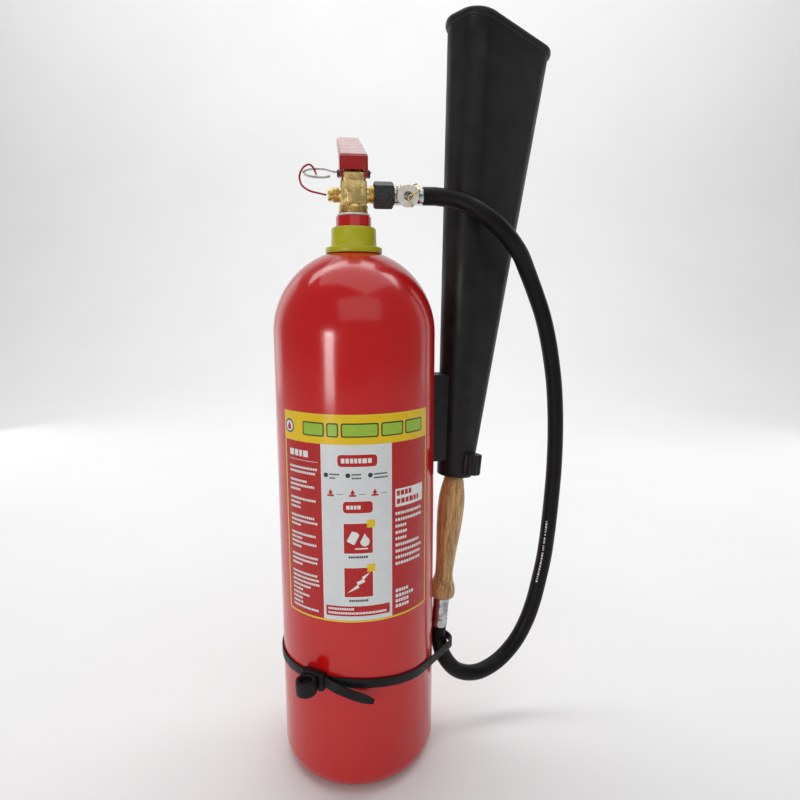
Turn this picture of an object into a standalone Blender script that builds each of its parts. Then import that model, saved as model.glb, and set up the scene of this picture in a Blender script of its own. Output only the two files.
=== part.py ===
"""Portable carbon dioxide fire extinguisher with a lever valve, a hose and a flattened horn.

Metres, +Z up. The origin is the centre of the base, on the cylinder's axis. The label faces -Y and
the hose leaves the valve towards +X. Run it with: blender --background --python part.py
"""
from math import acos, atan2, cos, hypot, pi, radians, sin, tan

import bmesh
import bpy
from mathutils import Matrix, Vector

GAP = 0.0003                # clearance between pieces that touch
MERGE = 1e-6                # points closer than this are one point

# Cylinder
BODY_R = 0.076
WALL = 0.005
BASE_R = 0.056              # radius of the flat face that it stands on
BASE_BEND = BODY_R - BASE_R
SHOULDER_Z = 0.430
DOME_H = 0.0775
NECK_R = 0.0162
NECK_BORE = 0.0128
NECK_TOP = 0.5367
BODY_STEPS = 48

# Label
LABEL_LOW, LABEL_HIGH = 0.176, 0.365
LABEL_LEFT, LABEL_RIGHT = radians(-52), radians(61)
LABEL_THICK = 0.0003

# Valve: its own axes are turned about Z, x towards the hose and y towards the lever's tail
VALVE_TURN = radians(7)
FLANGE_LOW = 0.5395
BLOCK_LOW, BLOCK_TOP = 0.545, 0.5675
BLOCK_HALF = 0.0118
OUTLET_Z = 0.5565
BURST_Z = 0.5557
SEAT_Z = 0.5495             # bottom of the spindle chamber
CHAMBER_R = 0.0065
PASSAGE_R = 0.003
OUTLET_END = 0.0270
BURST_END = -0.0188
SOCKET_TOP = 0.5152         # dip tube socket in the valve's tail
RELIEF_SLANT = radians(58)  # the drilling from the passage up to the bursting disc

# Lever, handle and their pins, as (y, z) in the valve's axes
PIVOT_Y, PIVOT_Z = -0.0115, 0.5722
PIVOT_R = 0.0020
SAFETY_Y, SAFETY_Z = 0.0105, 0.5785
SAFETY_R = 0.0012
PRESS = radians(12)         # the lever's travel
SHEET = 0.0015
LEVER_HALF = 0.0128
HANDLE_HALF = 0.0108
LEVER_FRONT, LEVER_TIP = -0.018, 0.115
LEVER_SLOPE = radians(20)
LEVER_TOP_Y, LEVER_TOP_Z = -0.0165, 0.5885
HANDLE_TIP = 0.112

# Hose and its fittings, along the valve's x axis
STEM_START, STEM_END = 0.0288, 0.0640
STEM_R = 0.0058
NUT_START, NUT_END = 0.0186, 0.0365
NUT_ACROSS_FLATS = 0.0215
FERRULE_START, FERRULE_END = 0.0372, 0.0645
FERRULE_R = 0.0085
HOSE_R = 0.00835
HOSE_STEP = 0.025

# Grip and horn: one leaning axis that starts at the grip's lower end
GRIP_FOOT = Vector((0.0871, 0.022, 0.150))
LEAN_RIGHT = radians(5.43)
LEAN_BACK = radians(4.04)
HORN_TURN = radians(40)     # the flattened horn's long side, from +X towards +Y
GRIP_LENGTH = 0.132
TUBE_R = 0.0045
THROAT_START = GRIP_LENGTH + GAP
MOUTH_END = 0.569
THROAT_R = 0.018
MOUTH_HALF_LONG, MOUTH_HALF_SHORT, MOUTH_CORNER = 0.058, 0.026, 0.020
HORN_WALL = 0.0025
LIP = 0.0022
LOWER_FERRULE_R = 0.0088
LOWER_GROOVE_R = 0.0083
LOWER_FERRULE_LENGTH = 0.032

# Cable tie
TIE_Z = 0.117
TIE_HEIGHT = 0.009
TIE_THICK = 0.0015
TIE_HEAD_ANGLE = radians(-117)
TIE_HOSE = Vector((0.0856, 0.0198))
TIE_HOSE_R = 0.0125

FINISHES = {
    "red_paint": ((0.60, 0.010, 0.012), 0.25, 0.0),
    "label_film": ((0.62, 0.03, 0.03), 0.35, 0.0),
    "lever_red": ((0.45, 0.006, 0.015), 0.30, 0.0),
    "handle_red": ((0.42, 0.006, 0.014), 0.32, 0.0),
    "seal_red": ((0.50, 0.010, 0.020), 0.40, 0.0),
    "collar_green": ((0.56, 0.62, 0.05), 0.40, 0.0),
    "white_ptfe": ((0.85, 0.85, 0.82), 0.50, 0.0),
    "brass": ((0.78, 0.56, 0.22), 0.25, 1.0),
    "gland_brass": ((0.74, 0.53, 0.22), 0.28, 1.0),
    "spindle_steel": ((0.62, 0.62, 0.62), 0.25, 1.0),
    "spring_steel": ((0.50, 0.50, 0.52), 0.30, 1.0),
    "pin_steel": ((0.66, 0.66, 0.66), 0.25, 1.0),
    "nut_steel": ((0.30, 0.31, 0.33), 0.35, 1.0),
    "ferrule_steel": ((0.75, 0.75, 0.76), 0.20, 1.0),
    "tube_steel": ((0.60, 0.60, 0.60), 0.30, 1.0),
    "seal_rubber": ((0.03, 0.03, 0.03), 0.60, 0.0),
    "disc_copper": ((0.70, 0.40, 0.28), 0.30, 1.0),
    "tag_plastic": ((0.78, 0.76, 0.68), 0.50, 0.0),
    "hose_rubber": ((0.012, 0.012, 0.013), 0.45, 0.0),
    "horn_black": ((0.015, 0.015, 0.016), 0.42, 0.0),
    "holder_black": ((0.018, 0.018, 0.018), 0.50, 0.0),
    "tie_nylon": ((0.012, 0.012, 0.012), 0.40, 0.0),
    "dip_plastic": ((0.80, 0.80, 0.78), 0.50, 0.0),
    "turned_wood": ((0.55, 0.31, 0.13), 0.50, 0.0),
}


# ---- Blender helpers -------------------------------------------------------------------------

def clear_scene():
    for obj in list(bpy.data.objects):
        bpy.data.objects.remove(obj, do_unlink=True)


def material(name):
    """A Principled material, made once for each finish."""
    found = bpy.data.materials.get(name)
    if found:
        return found
    colour, roughness, metallic = FINISHES[name]
    made = bpy.data.materials.new(name)
    made.use_nodes = True
    shader = made.node_tree.nodes["Principled BSDF"]
    shader.inputs["Base Color"].default_value = (*colour, 1.0)
    shader.inputs["Roughness"].default_value = roughness
    shader.inputs["Metallic"].default_value = metallic
    made.diffuse_color = (*colour, 1.0)
    return made


def place(name, data, finish, origin=(0, 0, 0), parent=None):
    """Link an object whose data is drawn about its own origin."""
    obj = bpy.data.objects.new(name, data)
    bpy.context.scene.collection.objects.link(obj)
    obj.location = origin
    obj.parent = parent
    if finish:
        data.materials.append(material(finish))
    return obj


def empty(name, location, rotation):
    obj = bpy.data.objects.new(name, None)
    bpy.context.scene.collection.objects.link(obj)
    obj.location = location
    obj.rotation_euler = rotation
    return obj


def solid(name, bm, finish, origin=(0, 0, 0), parent=None):
    """Turn a bmesh drawn in the parent's axes into an object with the given origin."""
    bmesh.ops.remove_doubles(bm, verts=bm.verts, dist=MERGE)
    bmesh.ops.recalc_face_normals(bm, faces=bm.faces)
    bmesh.ops.translate(bm, verts=bm.verts, vec=-Vector(origin))
    mesh = bpy.data.meshes.new(name)
    bm.to_mesh(mesh)
    bm.free()
    mesh.shade_smooth()
    mesh.set_sharp_from_angle(angle=radians(35))
    return place(name, mesh, finish, origin, parent)


def combine(obj, tool, operation="DIFFERENCE"):
    """Cut a helper from an object, or add it, and keep the helper out of the model."""
    modifier = obj.modifiers.new(tool.name, "BOOLEAN")
    modifier.operation = operation
    modifier.object = tool
    tool.hide_render = True
    tool.display_type = "WIRE"


def lathe(profile, steps=24, axis="Z", centre=(0, 0, 0)):
    """Spin (radius, height) points. A profile off the axis is closed into a ring."""
    bm = bmesh.new()
    verts = [bm.verts.new((radius, 0, height)) for radius, height in profile]
    edges = [bm.edges.new(pair) for pair in zip(verts, verts[1:])]
    if profile[0][0] > 0:
        edges.append(bm.edges.new((verts[-1], verts[0])))
    bmesh.ops.spin(bm, geom=verts + edges, cent=(0, 0, 0), axis=(0, 0, 1), angle=2 * pi,
                   steps=steps, use_merge=True)
    if axis == "X":
        bmesh.ops.rotate(bm, verts=bm.verts, matrix=Matrix.Rotation(pi / 2, 3, "Y"))
    if axis == "Y":
        bmesh.ops.rotate(bm, verts=bm.verts, matrix=Matrix.Rotation(-pi / 2, 3, "X"))
    bmesh.ops.translate(bm, verts=bm.verts, vec=Vector(centre))
    return bm


def rod(radius, low, high):
    """Profile of a plain round bar along its axis."""
    return [(0, low), (radius, low), (radius, high), (0, high)]


def ring(inner, outer, low, high):
    """Profile of a plain round ring or tube."""
    return [(inner, low), (outer, low), (outer, high), (inner, high)]


def prism(outline, low, high, axis="X"):
    """Extrude an outline: (y, z) points along X, or (x, y) points along Z."""
    bm = bmesh.new()
    if axis == "X":
        corners = [(low, a, b) for a, b in outline]
        step = Vector((high - low, 0, 0))
    else:
        corners = [(a, b, low) for a, b in outline]
        step = Vector((0, 0, high - low))
    face = bm.faces.new([bm.verts.new(corner) for corner in corners])
    raised = bmesh.ops.extrude_face_region(bm, geom=[face])["geom"]
    bmesh.ops.translate(bm, verts=[v for v in raised if isinstance(v, bmesh.types.BMVert)], vec=step)
    return bm


def box(low, high):
    (x0, y0, z0), (x1, y1, z1) = low, high
    return prism([(x0, y0), (x1, y0), (x1, y1), (x0, y1)], z0, z1, "Z")


def loft(rings, closed):
    """Bridge rings of equal point counts. A closed loft joins the last ring to the first."""
    bm = bmesh.new()
    loops = []
    for points in rings:
        verts = [bm.verts.new(point) for point in points]
        loops.append(verts)
    pairs = list(zip(loops, loops[1:]))
    if closed:
        pairs.append((loops[-1], loops[0]))
    else:
        bm.faces.new(loops[0])
        bm.faces.new(loops[-1])
    for first, second in pairs:
        count = len(first)
        for i in range(count):
            j = (i + 1) % count
            bm.faces.new((first[i], first[j], second[j], second[i]))
    return bm


def wire(name, points, radius, finish, parent=None, resolution=2):
    """A round tube with flat ends along the points."""
    curve = bpy.data.curves.new(name, "CURVE")
    curve.dimensions = "3D"
    curve.bevel_depth = radius
    curve.bevel_resolution = resolution
    curve.use_fill_caps = True
    spline = curve.splines.new("POLY")
    spline.points.add(len(points) - 1)
    for slot, point in zip(spline.points, points):
        slot.co = (*point, 1.0)
    spline.use_smooth = True
    return place(name, curve, finish, parent=parent)


def smooth(route, step):
    """Points about one step apart along a Catmull-Rom curve through the route's points."""
    fine = []
    ends = [route[0] * 2 - route[1]] + route + [route[-1] * 2 - route[-2]]
    for a, b, c, d in zip(ends, ends[1:], ends[2:], ends[3:]):
        for i in range(20):
            t = i / 20
            fine.append(0.5 * (2 * b + (c - a) * t + (2 * a - 5 * b + 4 * c - d) * t ** 2
                               + (3 * b - a - 3 * c + d) * t ** 3))
    fine.append(route[-1])
    length = sum((q - p).length for p, q in zip(fine, fine[1:]))
    count = round(length / step)
    picked = [fine[0]]
    travelled = 0.0
    for p, q in zip(fine, fine[1:]):
        travelled += (q - p).length
        if travelled >= length * len(picked) / count - MERGE:
            picked.append(q)
    return picked


def arc(centre, radius, start, end, steps):
    """Points on an arc in the plane, both ends included."""
    turns = [start + (end - start) * i / steps for i in range(steps + 1)]
    return [(centre[0] + radius * cos(a), centre[1] + radius * sin(a)) for a in turns]


# ---- Cylinder, label and neck ----------------------------------------------------------------

def shell_profile(radius, dome, bend, floor, neck, steps):
    """Half outline of the vessel from its base's rim to the foot of its neck."""
    top_angle = acos(neck / radius)
    bottom = arc((radius - bend, floor + bend), bend, -pi / 2, 0, steps)
    shoulder = [(radius * cos(top_angle * i / (steps + 2)),
                 SHOULDER_Z + dome * sin(top_angle * i / (steps + 2))) for i in range(steps + 3)]
    return bottom + shoulder


def make_cylinder():
    outer = shell_profile(BODY_R, DOME_H, BASE_BEND, 0.0, NECK_R, 5)
    inner = shell_profile(BODY_R - WALL, DOME_H - WALL, BASE_BEND - WALL, WALL, NECK_BORE, 4)
    profile = [(0, 0)] + outer + [(NECK_R, NECK_TOP), (NECK_BORE, NECK_TOP)]
    profile += list(reversed(inner)) + [(0, WALL)]
    solid("cylinder", lathe(profile, BODY_STEPS), "red_paint")


def make_label():
    inner_r = BODY_R + GAP
    start, end = LABEL_LEFT - pi / 2, LABEL_RIGHT - pi / 2
    outline = arc((0, 0), inner_r + LABEL_THICK, start, end, 20)
    outline += reversed(arc((0, 0), inner_r, start, end, 20))
    solid("label", prism(outline, LABEL_LOW, LABEL_HIGH, "Z"), "label_film")


def make_neck_collar():
    bore = NECK_R + 0.0005
    profile = [(bore, 0.5066), (0.0262, 0.5034), (0.0262, 0.5085), (0.0255, 0.5092),
               (0.0212, 0.5098), (0.0205, 0.5220), (0.0195, 0.5255), (0.0177, 0.5270), (bore, 0.5270)]
    solid("neck_collar", lathe(profile, 32), "collar_green")


def make_neck_gasket():
    profile = ring(NECK_BORE, 0.0150, NECK_TOP + GAP, FLANGE_LOW - GAP)
    solid("neck_gasket", lathe(profile, 24), "white_ptfe")


# ---- Valve -----------------------------------------------------------------------------------

def make_valve_body(valve):
    block = box((-BLOCK_HALF, -BLOCK_HALF, BLOCK_LOW), (BLOCK_HALF, BLOCK_HALF, BLOCK_TOP))
    upright = [e for e in block.edges if abs(e.verts[0].co.z - e.verts[1].co.z) > 0.01]
    bmesh.ops.bevel(block, geom=upright, offset=0.0025, segments=2, profile=0.5, affect="EDGES")
    body = solid("valve_body", block, "brass", parent=valve)
    tail = [(0, 0.507), (0.0125, 0.507), (0.0125, FLANGE_LOW), (0.0135, FLANGE_LOW),
            (0.0135, 0.5460), (0.0105, 0.5500), (0, 0.5500)]
    lug = [(-0.0082, 0.560), (-0.0112, 0.560), (-0.0150, 0.5665), (-0.0150, 0.5735),
           (-0.0132, 0.5762), (-0.0102, 0.5762), (-0.0082, 0.5745)]
    core = [(0, 0.500), (0.0068, 0.500), (0.0068, SOCKET_TOP), (PASSAGE_R, SOCKET_TOP),
            (PASSAGE_R, SEAT_Z), (CHAMBER_R, SEAT_Z), (CHAMBER_R, 0.570), (0, 0.570)]
    added = {
        "add_tail": lathe(tail, 24),
        "add_burst_port": lathe(rod(0.0068, BURST_END, -0.005), 20, "X", (0, 0, BURST_Z)),
        "add_outlet": lathe(rod(0.0078, 0.005, OUTLET_END), 24, "X", (0, 0, OUTLET_Z)),
        "add_lug": prism(lug, -0.009, 0.009),
    }
    removed = {
        "cut_core": lathe(core, 20),
        "cut_outlet": lathe(rod(0.0040, 0.003, 0.030), 14, "X", (0, 0, OUTLET_Z)),
        "cut_burst": lathe(rod(0.0045, -0.021, -0.0145), 16, "X", (0, 0, BURST_Z)),
        "cut_relief": lathe(rod(0.0018, 0.0, 0.0275), 12, "X"),
        "cut_pivot": lathe(rod(PIVOT_R + GAP, -0.02, 0.02), 16, "X", (0, PIVOT_Y, PIVOT_Z)),
    }
    slant = removed["cut_relief"]
    bmesh.ops.rotate(slant, verts=slant.verts, matrix=Matrix.Rotation(pi + RELIEF_SLANT, 3, "Y"))
    bmesh.ops.translate(slant, verts=slant.verts, vec=Vector((0, 0, 0.5325)))
    for name, shape in added.items():
        combine(body, solid(name, shape, None, parent=valve), "UNION")
    for name, shape in removed.items():
        combine(body, solid(name, shape, None, parent=valve))


def make_gland(valve):
    nut = [(0.0033, 0.5660), (0.0061, 0.5660), (0.0061, 0.5679), (0.0075, 0.5679),
           (0.0075, 0.5784), (0.0069, 0.5790), (0.0033, 0.5790)]
    solid("gland_nut", lathe(nut, 16), "gland_brass", parent=valve)
    solid("gland_seal", lathe(ring(0.0034, 0.0061, 0.5634, 0.5657), 16), "seal_rubber", parent=valve)


def make_spindle(valve):
    profile = [(0, 0.5520), (0.0020, 0.5520), (0.0020, 0.5600), (0.0055, 0.5600),
               (0.0055, 0.5630), (0.0030, 0.5630), (0.0030, 0.5898), (0.0022, 0.5910), (0, 0.5916)]
    spindle = lathe(profile, 16)
    solid("valve_spindle", spindle, "spindle_steel", (0, 0, SEAT_Z), valve)
    coil_r, wire_r, turns, per_turn = 0.0045, 0.0005, 3.5, 10
    low = SEAT_Z + GAP + wire_r
    rise = 0.5600 - GAP - wire_r - low
    points = []
    for i in range(round(turns * per_turn) + 1):
        share = i / (turns * per_turn)
        angle = 2 * pi * turns * share
        points.append((coil_r * cos(angle), coil_r * sin(angle), low + rise * share))
    wire("spindle_spring", points, wire_r, "spring_steel", valve, 1)


def make_burst_disc(valve):
    centre = (0, 0, BURST_Z)
    solid("burst_disc", lathe(rod(0.0041, -0.0153, -0.0148), 16, "X", centre), "disc_copper",
          parent=valve)
    nut = [(0.0015, -0.0235), (0.0050, -0.0235), (0.0058, -0.0228), (0.0058, -0.0192),
           (0.0041, -0.0192), (0.0041, -0.0156), (0.0015, -0.0156)]
    solid("burst_disc_nut", lathe(nut, 16, "X", centre), "gland_brass", parent=valve)


# ---- Lever, handle and pins ------------------------------------------------------------------

def lever_top(y, drop=0.0):
    return LEVER_TOP_Z + (y - LEVER_TOP_Y) * tan(LEVER_SLOPE) - drop


def make_lever(valve):
    outline = [
        (LEVER_FRONT, 0.5750), (LEVER_FRONT, 0.5862), (LEVER_TOP_Y, LEVER_TOP_Z),
        (LEVER_TIP - 0.002, lever_top(LEVER_TIP - 0.002)), (LEVER_TIP, 0.6348),
        (LEVER_TIP - 0.002, 0.6310), (0.0200, 0.5935), (0.0155, 0.5830), (0.0145, 0.5747),
        (0.0060, 0.5727), (-0.0020, 0.5702), (-0.0115, 0.5690), (-0.0135, 0.5696), (-0.0147, 0.5750),
    ]
    drop = SHEET / cos(LEVER_SLOPE)
    inside_front, inside_tip = LEVER_FRONT + SHEET, LEVER_TIP - SHEET
    inside = [
        (inside_front, 0.55), (inside_front, 0.5855), (inside_front + 0.001, lever_top(-0.0155, drop)),
        (inside_tip - 0.001, lever_top(inside_tip - 0.001, drop)), (inside_tip, 0.6330),
        (inside_tip, 0.55),
    ]
    origin = (0, PIVOT_Y, PIVOT_Z)
    lever = solid("operating_lever", prism(outline, -LEVER_HALF, LEVER_HALF), "lever_red", origin,
                  valve)
    inner_half = LEVER_HALF - SHEET
    hole = lathe(rod(PIVOT_R + GAP, -0.02, 0.02), 16, "X", origin)
    combine(lever, solid("cut_lever_inside", prism(inside, -inner_half, inner_half), None,
                         parent=valve))
    combine(lever, solid("cut_lever_pivot", hole, None, parent=valve))
    combine(lever, solid("cut_lever_slot", safety_slot(), None, parent=valve))


def safety_slot():
    """The slot that the lever slides past its safety pin, an arc about the pivot."""
    reach = hypot(SAFETY_Y - PIVOT_Y, SAFETY_Z - PIVOT_Z)
    start = atan2(SAFETY_Z - PIVOT_Z, SAFETY_Y - PIVOT_Y)
    half = SAFETY_R + 0.0004
    pivot = (PIVOT_Y, PIVOT_Z)
    low_end = (PIVOT_Y + reach * cos(start), PIVOT_Z + reach * sin(start))
    high_end = (PIVOT_Y + reach * cos(start + PRESS), PIVOT_Z + reach * sin(start + PRESS))
    outline = arc(low_end, half, start - pi, start, 6)
    outline += arc(pivot, reach + half, start, start + PRESS, 3)[1:]
    outline += arc(high_end, half, start + PRESS, start + PRESS + pi, 6)[1:]
    outline += arc(pivot, reach - half, start + PRESS, start, 3)[1:-1]
    return prism(outline, -0.02, 0.02)


def make_carry_handle(valve):
    outline = [
        (-0.0155, 0.5682), (-0.0155, 0.5722), (-0.0126, 0.5830), (0.0120, 0.5830), (0.0155, 0.5760),
        (0.1080, 0.5560), (HANDLE_TIP, 0.5535), (HANDLE_TIP, 0.5500), (0.1080, 0.5475),
        (0.0135, 0.5682),
    ]
    inside = [
        (-0.03, 0.555), (0.0135, 0.555), (0.0135, 0.5682 + SHEET), (0.1080, 0.5475 + SHEET),
        (HANDLE_TIP - SHEET, 0.5512), (HANDLE_TIP - SHEET, 0.60), (-0.03, 0.60),
    ]
    inner_half = HANDLE_HALF - SHEET
    handle = solid("carry_handle", prism(outline, -HANDLE_HALF, HANDLE_HALF), "handle_red",
                   parent=valve)
    pivot = lathe(rod(PIVOT_R + GAP, -0.02, 0.02), 16, "X", (0, PIVOT_Y, PIVOT_Z))
    safety = lathe(rod(SAFETY_R + 0.0004, -0.02, 0.02), 12, "X", (0, SAFETY_Y, SAFETY_Z))
    combine(handle, solid("cut_handle_inside", prism(inside, -inner_half, inner_half), None,
                          parent=valve))
    combine(handle, solid("cut_handle_pivot", pivot, None, parent=valve))
    combine(handle, solid("cut_handle_safety", safety, None, parent=valve))


def make_pins(valve):
    inner, outer, head_r = LEVER_HALF + GAP, LEVER_HALF + 0.0021, 0.0036
    profile = [(0, -outer), (head_r, -outer), (head_r, -inner), (PIVOT_R, -inner), (PIVOT_R, inner),
               (head_r, inner), (head_r, outer), (0, outer)]
    solid("pivot_pin", lathe(profile, 16, "X", (0, PIVOT_Y, PIVOT_Z)), "pin_steel", parent=valve)
    loop = [(0.0175, 0), (-0.0175, 0), (-0.0215, 0.0010), (-0.0250, 0.0020), (-0.0360, 0.0020),
            (-0.0425, 0.0008), (-0.0450, -0.0015), (-0.0425, -0.0038), (-0.0360, -0.0050),
            (-0.0250, -0.0050), (-0.0208, -0.0040)]
    wire("safety_pin", [(x, SAFETY_Y, SAFETY_Z + z) for x, z in loop], SAFETY_R, "pin_steel", valve)
    strap = [(-0.0335, 0.0160, 0.5768), (-0.0340, 0.0105, 0.5768), (-0.0348, 0.0060, 0.5780),
             (-0.0372, 0.0030, 0.5812), (-0.0402, 0.0010, 0.5820), (-0.0447, -0.0010, 0.5790),
             (-0.0478, -0.0020, 0.5735), (-0.0482, -0.0025, 0.5685), (-0.0461, -0.0020, 0.5630),
             (-0.0398, -0.0010, 0.5590), (-0.0322, 0.0, 0.5573), (-0.0245, 0.0, 0.5557)]
    route = smooth([Vector(point) for point in strap], 0.003)
    wire("seal_strap", route, 0.0009, "seal_red", valve, 1)


# ---- Hose fittings and hose ------------------------------------------------------------------

def make_outlet(valve):
    centre = (0, 0, OUTLET_Z)
    gasket = ring(0.0042, 0.0072, OUTLET_END + GAP, STEM_START - GAP)
    solid("outlet_gasket", lathe(gasket, 16, "X", centre), "white_ptfe", parent=valve)
    stem = [(0.0035, STEM_START), (0.0078, STEM_START), (0.0078, 0.0315), (STEM_R, 0.0315),
            (STEM_R, STEM_END), (0.0035, STEM_END)]
    solid("hose_stem", lathe(stem, 20, "X", centre), "tube_steel", parent=valve)
    corner = NUT_ACROSS_FLATS / 2 / cos(pi / 6)
    hexagon = arc((0, OUTLET_Z), corner, 0, 2 * pi * 5 / 6, 5)
    nut = solid("union_nut", prism(hexagon, NUT_START, NUT_END), "nut_steel", centre, valve)
    bore = [(0, NUT_START - 0.001), (0.0082, NUT_START - 0.001), (0.0082, 0.0320), (0.0062, 0.0320),
            (0.0062, NUT_END + 0.001), (0, NUT_END + 0.001)]
    combine(nut, solid("cut_nut_bore", lathe(bore, 24, "X", centre), None, parent=valve))


def make_upper_ferrule(valve):
    profile = [(STEM_R + GAP, FERRULE_START), (0.0088, FERRULE_START),
               (0.0088, FERRULE_START + 0.002), (FERRULE_R, FERRULE_START + 0.0022)]
    for groove in (0.0455, 0.0515, 0.0575):
        profile += [(FERRULE_R, groove), (FERRULE_R - 0.0004, groove + 0.0005),
                    (FERRULE_R - 0.0004, groove + 0.0020), (FERRULE_R, groove + 0.0025)]
    profile += [(FERRULE_R, FERRULE_END), (STEM_R + GAP, FERRULE_END)]
    solid("upper_ferrule", lathe(profile, 20, "X", (0, 0, OUTLET_Z)), "ferrule_steel", parent=valve)


def make_seal(valve):
    washer = ring(0.00425, 0.0100, -0.0010, 0.0010)
    solid("seal_washer", lathe(washer, 24, "Y", (0.0493, -0.0120, 0.5542)), "tag_plastic",
          parent=valve)
    coil_r, turns, per_turn = 0.0098, 1.6, 14
    points = []
    count = round(turns * per_turn)
    for i in range(count + 1):
        angle = -2 * pi * turns * (1 - i / count)
        along = 0.0465 + 0.0035 * i / count
        points.append((along, -coil_r * cos(angle), OUTLET_Z + coil_r * sin(angle)))
    points += [(0.0500, -0.0122, 0.5552), (0.0502, -0.0141, 0.5520), (0.0510, -0.0144, 0.5480),
               (0.0530, -0.0142, 0.5440)]
    wire("seal_wire", points, 0.0007, "gland_brass", valve, 1)


def hose_route():
    """The hose leaves the ferrule, passes in front of the horn and comes up under the grip."""
    start = Matrix.Rotation(VALVE_TURN, 3, "Z") @ Vector((FERRULE_END + GAP, 0, OUTLET_Z))
    first = Matrix.Rotation(VALVE_TURN, 3, "Z") @ Vector((FERRULE_END + 0.012, 0, OUTLET_Z))
    along = horn_direction()
    end = GRIP_FOOT - along * (LOWER_FERRULE_LENGTH + GAP)
    last = end - along * 0.010
    between = [
        (0.0961, 0.0067, 0.5529), (0.1190, 0.0025, 0.5410), (0.1405, 0.0074, 0.5245),
        (0.1584, 0.0219, 0.5068), (0.1692, 0.0345, 0.4900), (0.1799, 0.0438, 0.4695),
        (0.1897, 0.0491, 0.4467), (0.1972, 0.0535, 0.4230), (0.2030, 0.0574, 0.3987),
        (0.2075, 0.0600, 0.3740), (0.2104, 0.0620, 0.3489), (0.2122, 0.0637, 0.3238),
        (0.2131, 0.0652, 0.2986), (0.2131, 0.0662, 0.2733), (0.2122, 0.0668, 0.2481),
        (0.2108, 0.0671, 0.2228), (0.2089, 0.0670, 0.1976), (0.2060, 0.0665, 0.1725),
        (0.2013, 0.0653, 0.1477), (0.1956, 0.0631, 0.1236), (0.1870, 0.0600, 0.0990),
        (0.1728, 0.0546, 0.0755), (0.1520, 0.0460, 0.0580), (0.1280, 0.0362, 0.0515),
        (0.1050, 0.0270, 0.0605), (0.0896, 0.0211, 0.0825),
    ]
    return [start, first] + [Vector(point) for point in between] + [last, end]


def make_hose():
    """The first and last stretch stay straight, so both ends face their ferrules squarely."""
    route = hose_route()
    points = [route[0]] + smooth(route[1:-1], HOSE_STEP) + [route[-1]]
    wire("discharge_hose", points, HOSE_R, "hose_rubber", resolution=4)


# ---- Grip and horn ---------------------------------------------------------------------------

def horn_direction():
    return Vector((tan(LEAN_RIGHT), tan(LEAN_BACK), 1)).normalized()


def horn_frame():
    """An empty whose z runs up the horn and whose x is the long side of its mouth."""
    along = horn_direction()
    side = Vector((cos(HORN_TURN), sin(HORN_TURN), 0))
    side = (side - along * side.dot(along)).normalized()
    turn = Matrix((side, along.cross(side), along)).transposed()
    return empty("horn_frame", GRIP_FOOT, turn.to_euler())


def section(height, half_long, half_short, corner, per_corner=8):
    """A rounded rectangle at a height; a circle when the three sizes are equal."""
    points = []
    for quarter, (sx, sy) in enumerate(((1, 1), (-1, 1), (-1, -1), (1, -1))):
        for i in range(per_corner):
            angle = (quarter + (i + 0.5) / per_corner) * pi / 2
            points.append((sx * (half_long - corner) + corner * cos(angle),
                           sy * (half_short - corner) + corner * sin(angle), height))
    return points


def horn_section(height, grow=0.0):
    """The horn's outline at a height up its axis, grown outwards."""
    share = (height - THROAT_START) / (MOUTH_END - THROAT_START)
    half_long = THROAT_R + (MOUTH_HALF_LONG - THROAT_R) * share + grow
    half_short = THROAT_R + (MOUTH_HALF_SHORT - THROAT_R) * share + grow
    corner = THROAT_R + (MOUTH_CORNER - THROAT_R) * share + grow
    return section(height, half_long, half_short, corner)


def make_horn(frame):
    bore = TUBE_R + GAP
    floor = THROAT_START + 0.004
    heights = [THROAT_START + 0.0015] + [0.20 + 0.06 * i for i in range(6)] + [0.5615]
    rings = [section(THROAT_START, bore, bore, bore), horn_section(THROAT_START, -0.0015)]
    rings += [horn_section(height) for height in heights]
    rings += [horn_section(0.5633, LIP * 0.8), horn_section(0.5660, LIP), horn_section(0.5685, LIP * 0.6),
              horn_section(MOUTH_END, 0.0), horn_section(0.5685, -HORN_WALL * 0.7)]
    rings += [horn_section(height, -HORN_WALL) for height in reversed(heights[1:-1])]
    rings += [horn_section(floor, -HORN_WALL), section(floor, bore, bore, bore)]
    solid("horn", loft(rings, True), "horn_black", parent=frame)


def horn_cutter(name, frame, grow):
    rings = [horn_section(0.126, grow), horn_section(0.36, grow), horn_section(0.58, grow)]
    return solid(name, loft(rings, False), None, parent=frame)


def make_horn_lug(frame):
    """The fluted boss on the front of the horn's throat."""
    centre = (0.003, -0.0190)
    lobes, per_lobe = 10, 4
    outline = []
    for i in range(lobes * per_lobe):
        angle = 2 * pi * i / (lobes * per_lobe)
        reach = 0.0100 + 0.0005 * cos(lobes * angle)
        outline.append((centre[0] + reach * cos(angle), centre[1] + reach * sin(angle)))
    lug = solid("horn_lug", prism(outline, 0.1370, 0.1580, "Z"), "horn_black", parent=frame)
    combine(lug, horn_cutter("cut_lug_horn", frame, GAP))


def make_horn_holder(frame):
    """The saddle on the cylinder's wall that the horn leans against."""
    toward = radians(18.7)
    inner, outer, half = BODY_R + 0.0004, 0.1000, 0.013
    side = Vector((-sin(toward), cos(toward)))
    out = Vector((cos(toward), sin(toward)))
    spread = half / inner
    outline = arc((0, 0), inner, toward - spread, toward + spread, 8)
    outline += [tuple(out * outer + side * half), tuple(out * outer - side * half)]
    holder = solid("horn_holder", prism(outline, 0.300, 0.388, "Z"), "holder_black")
    combine(holder, horn_cutter("cut_holder_horn", frame, 0.0004))


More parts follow.
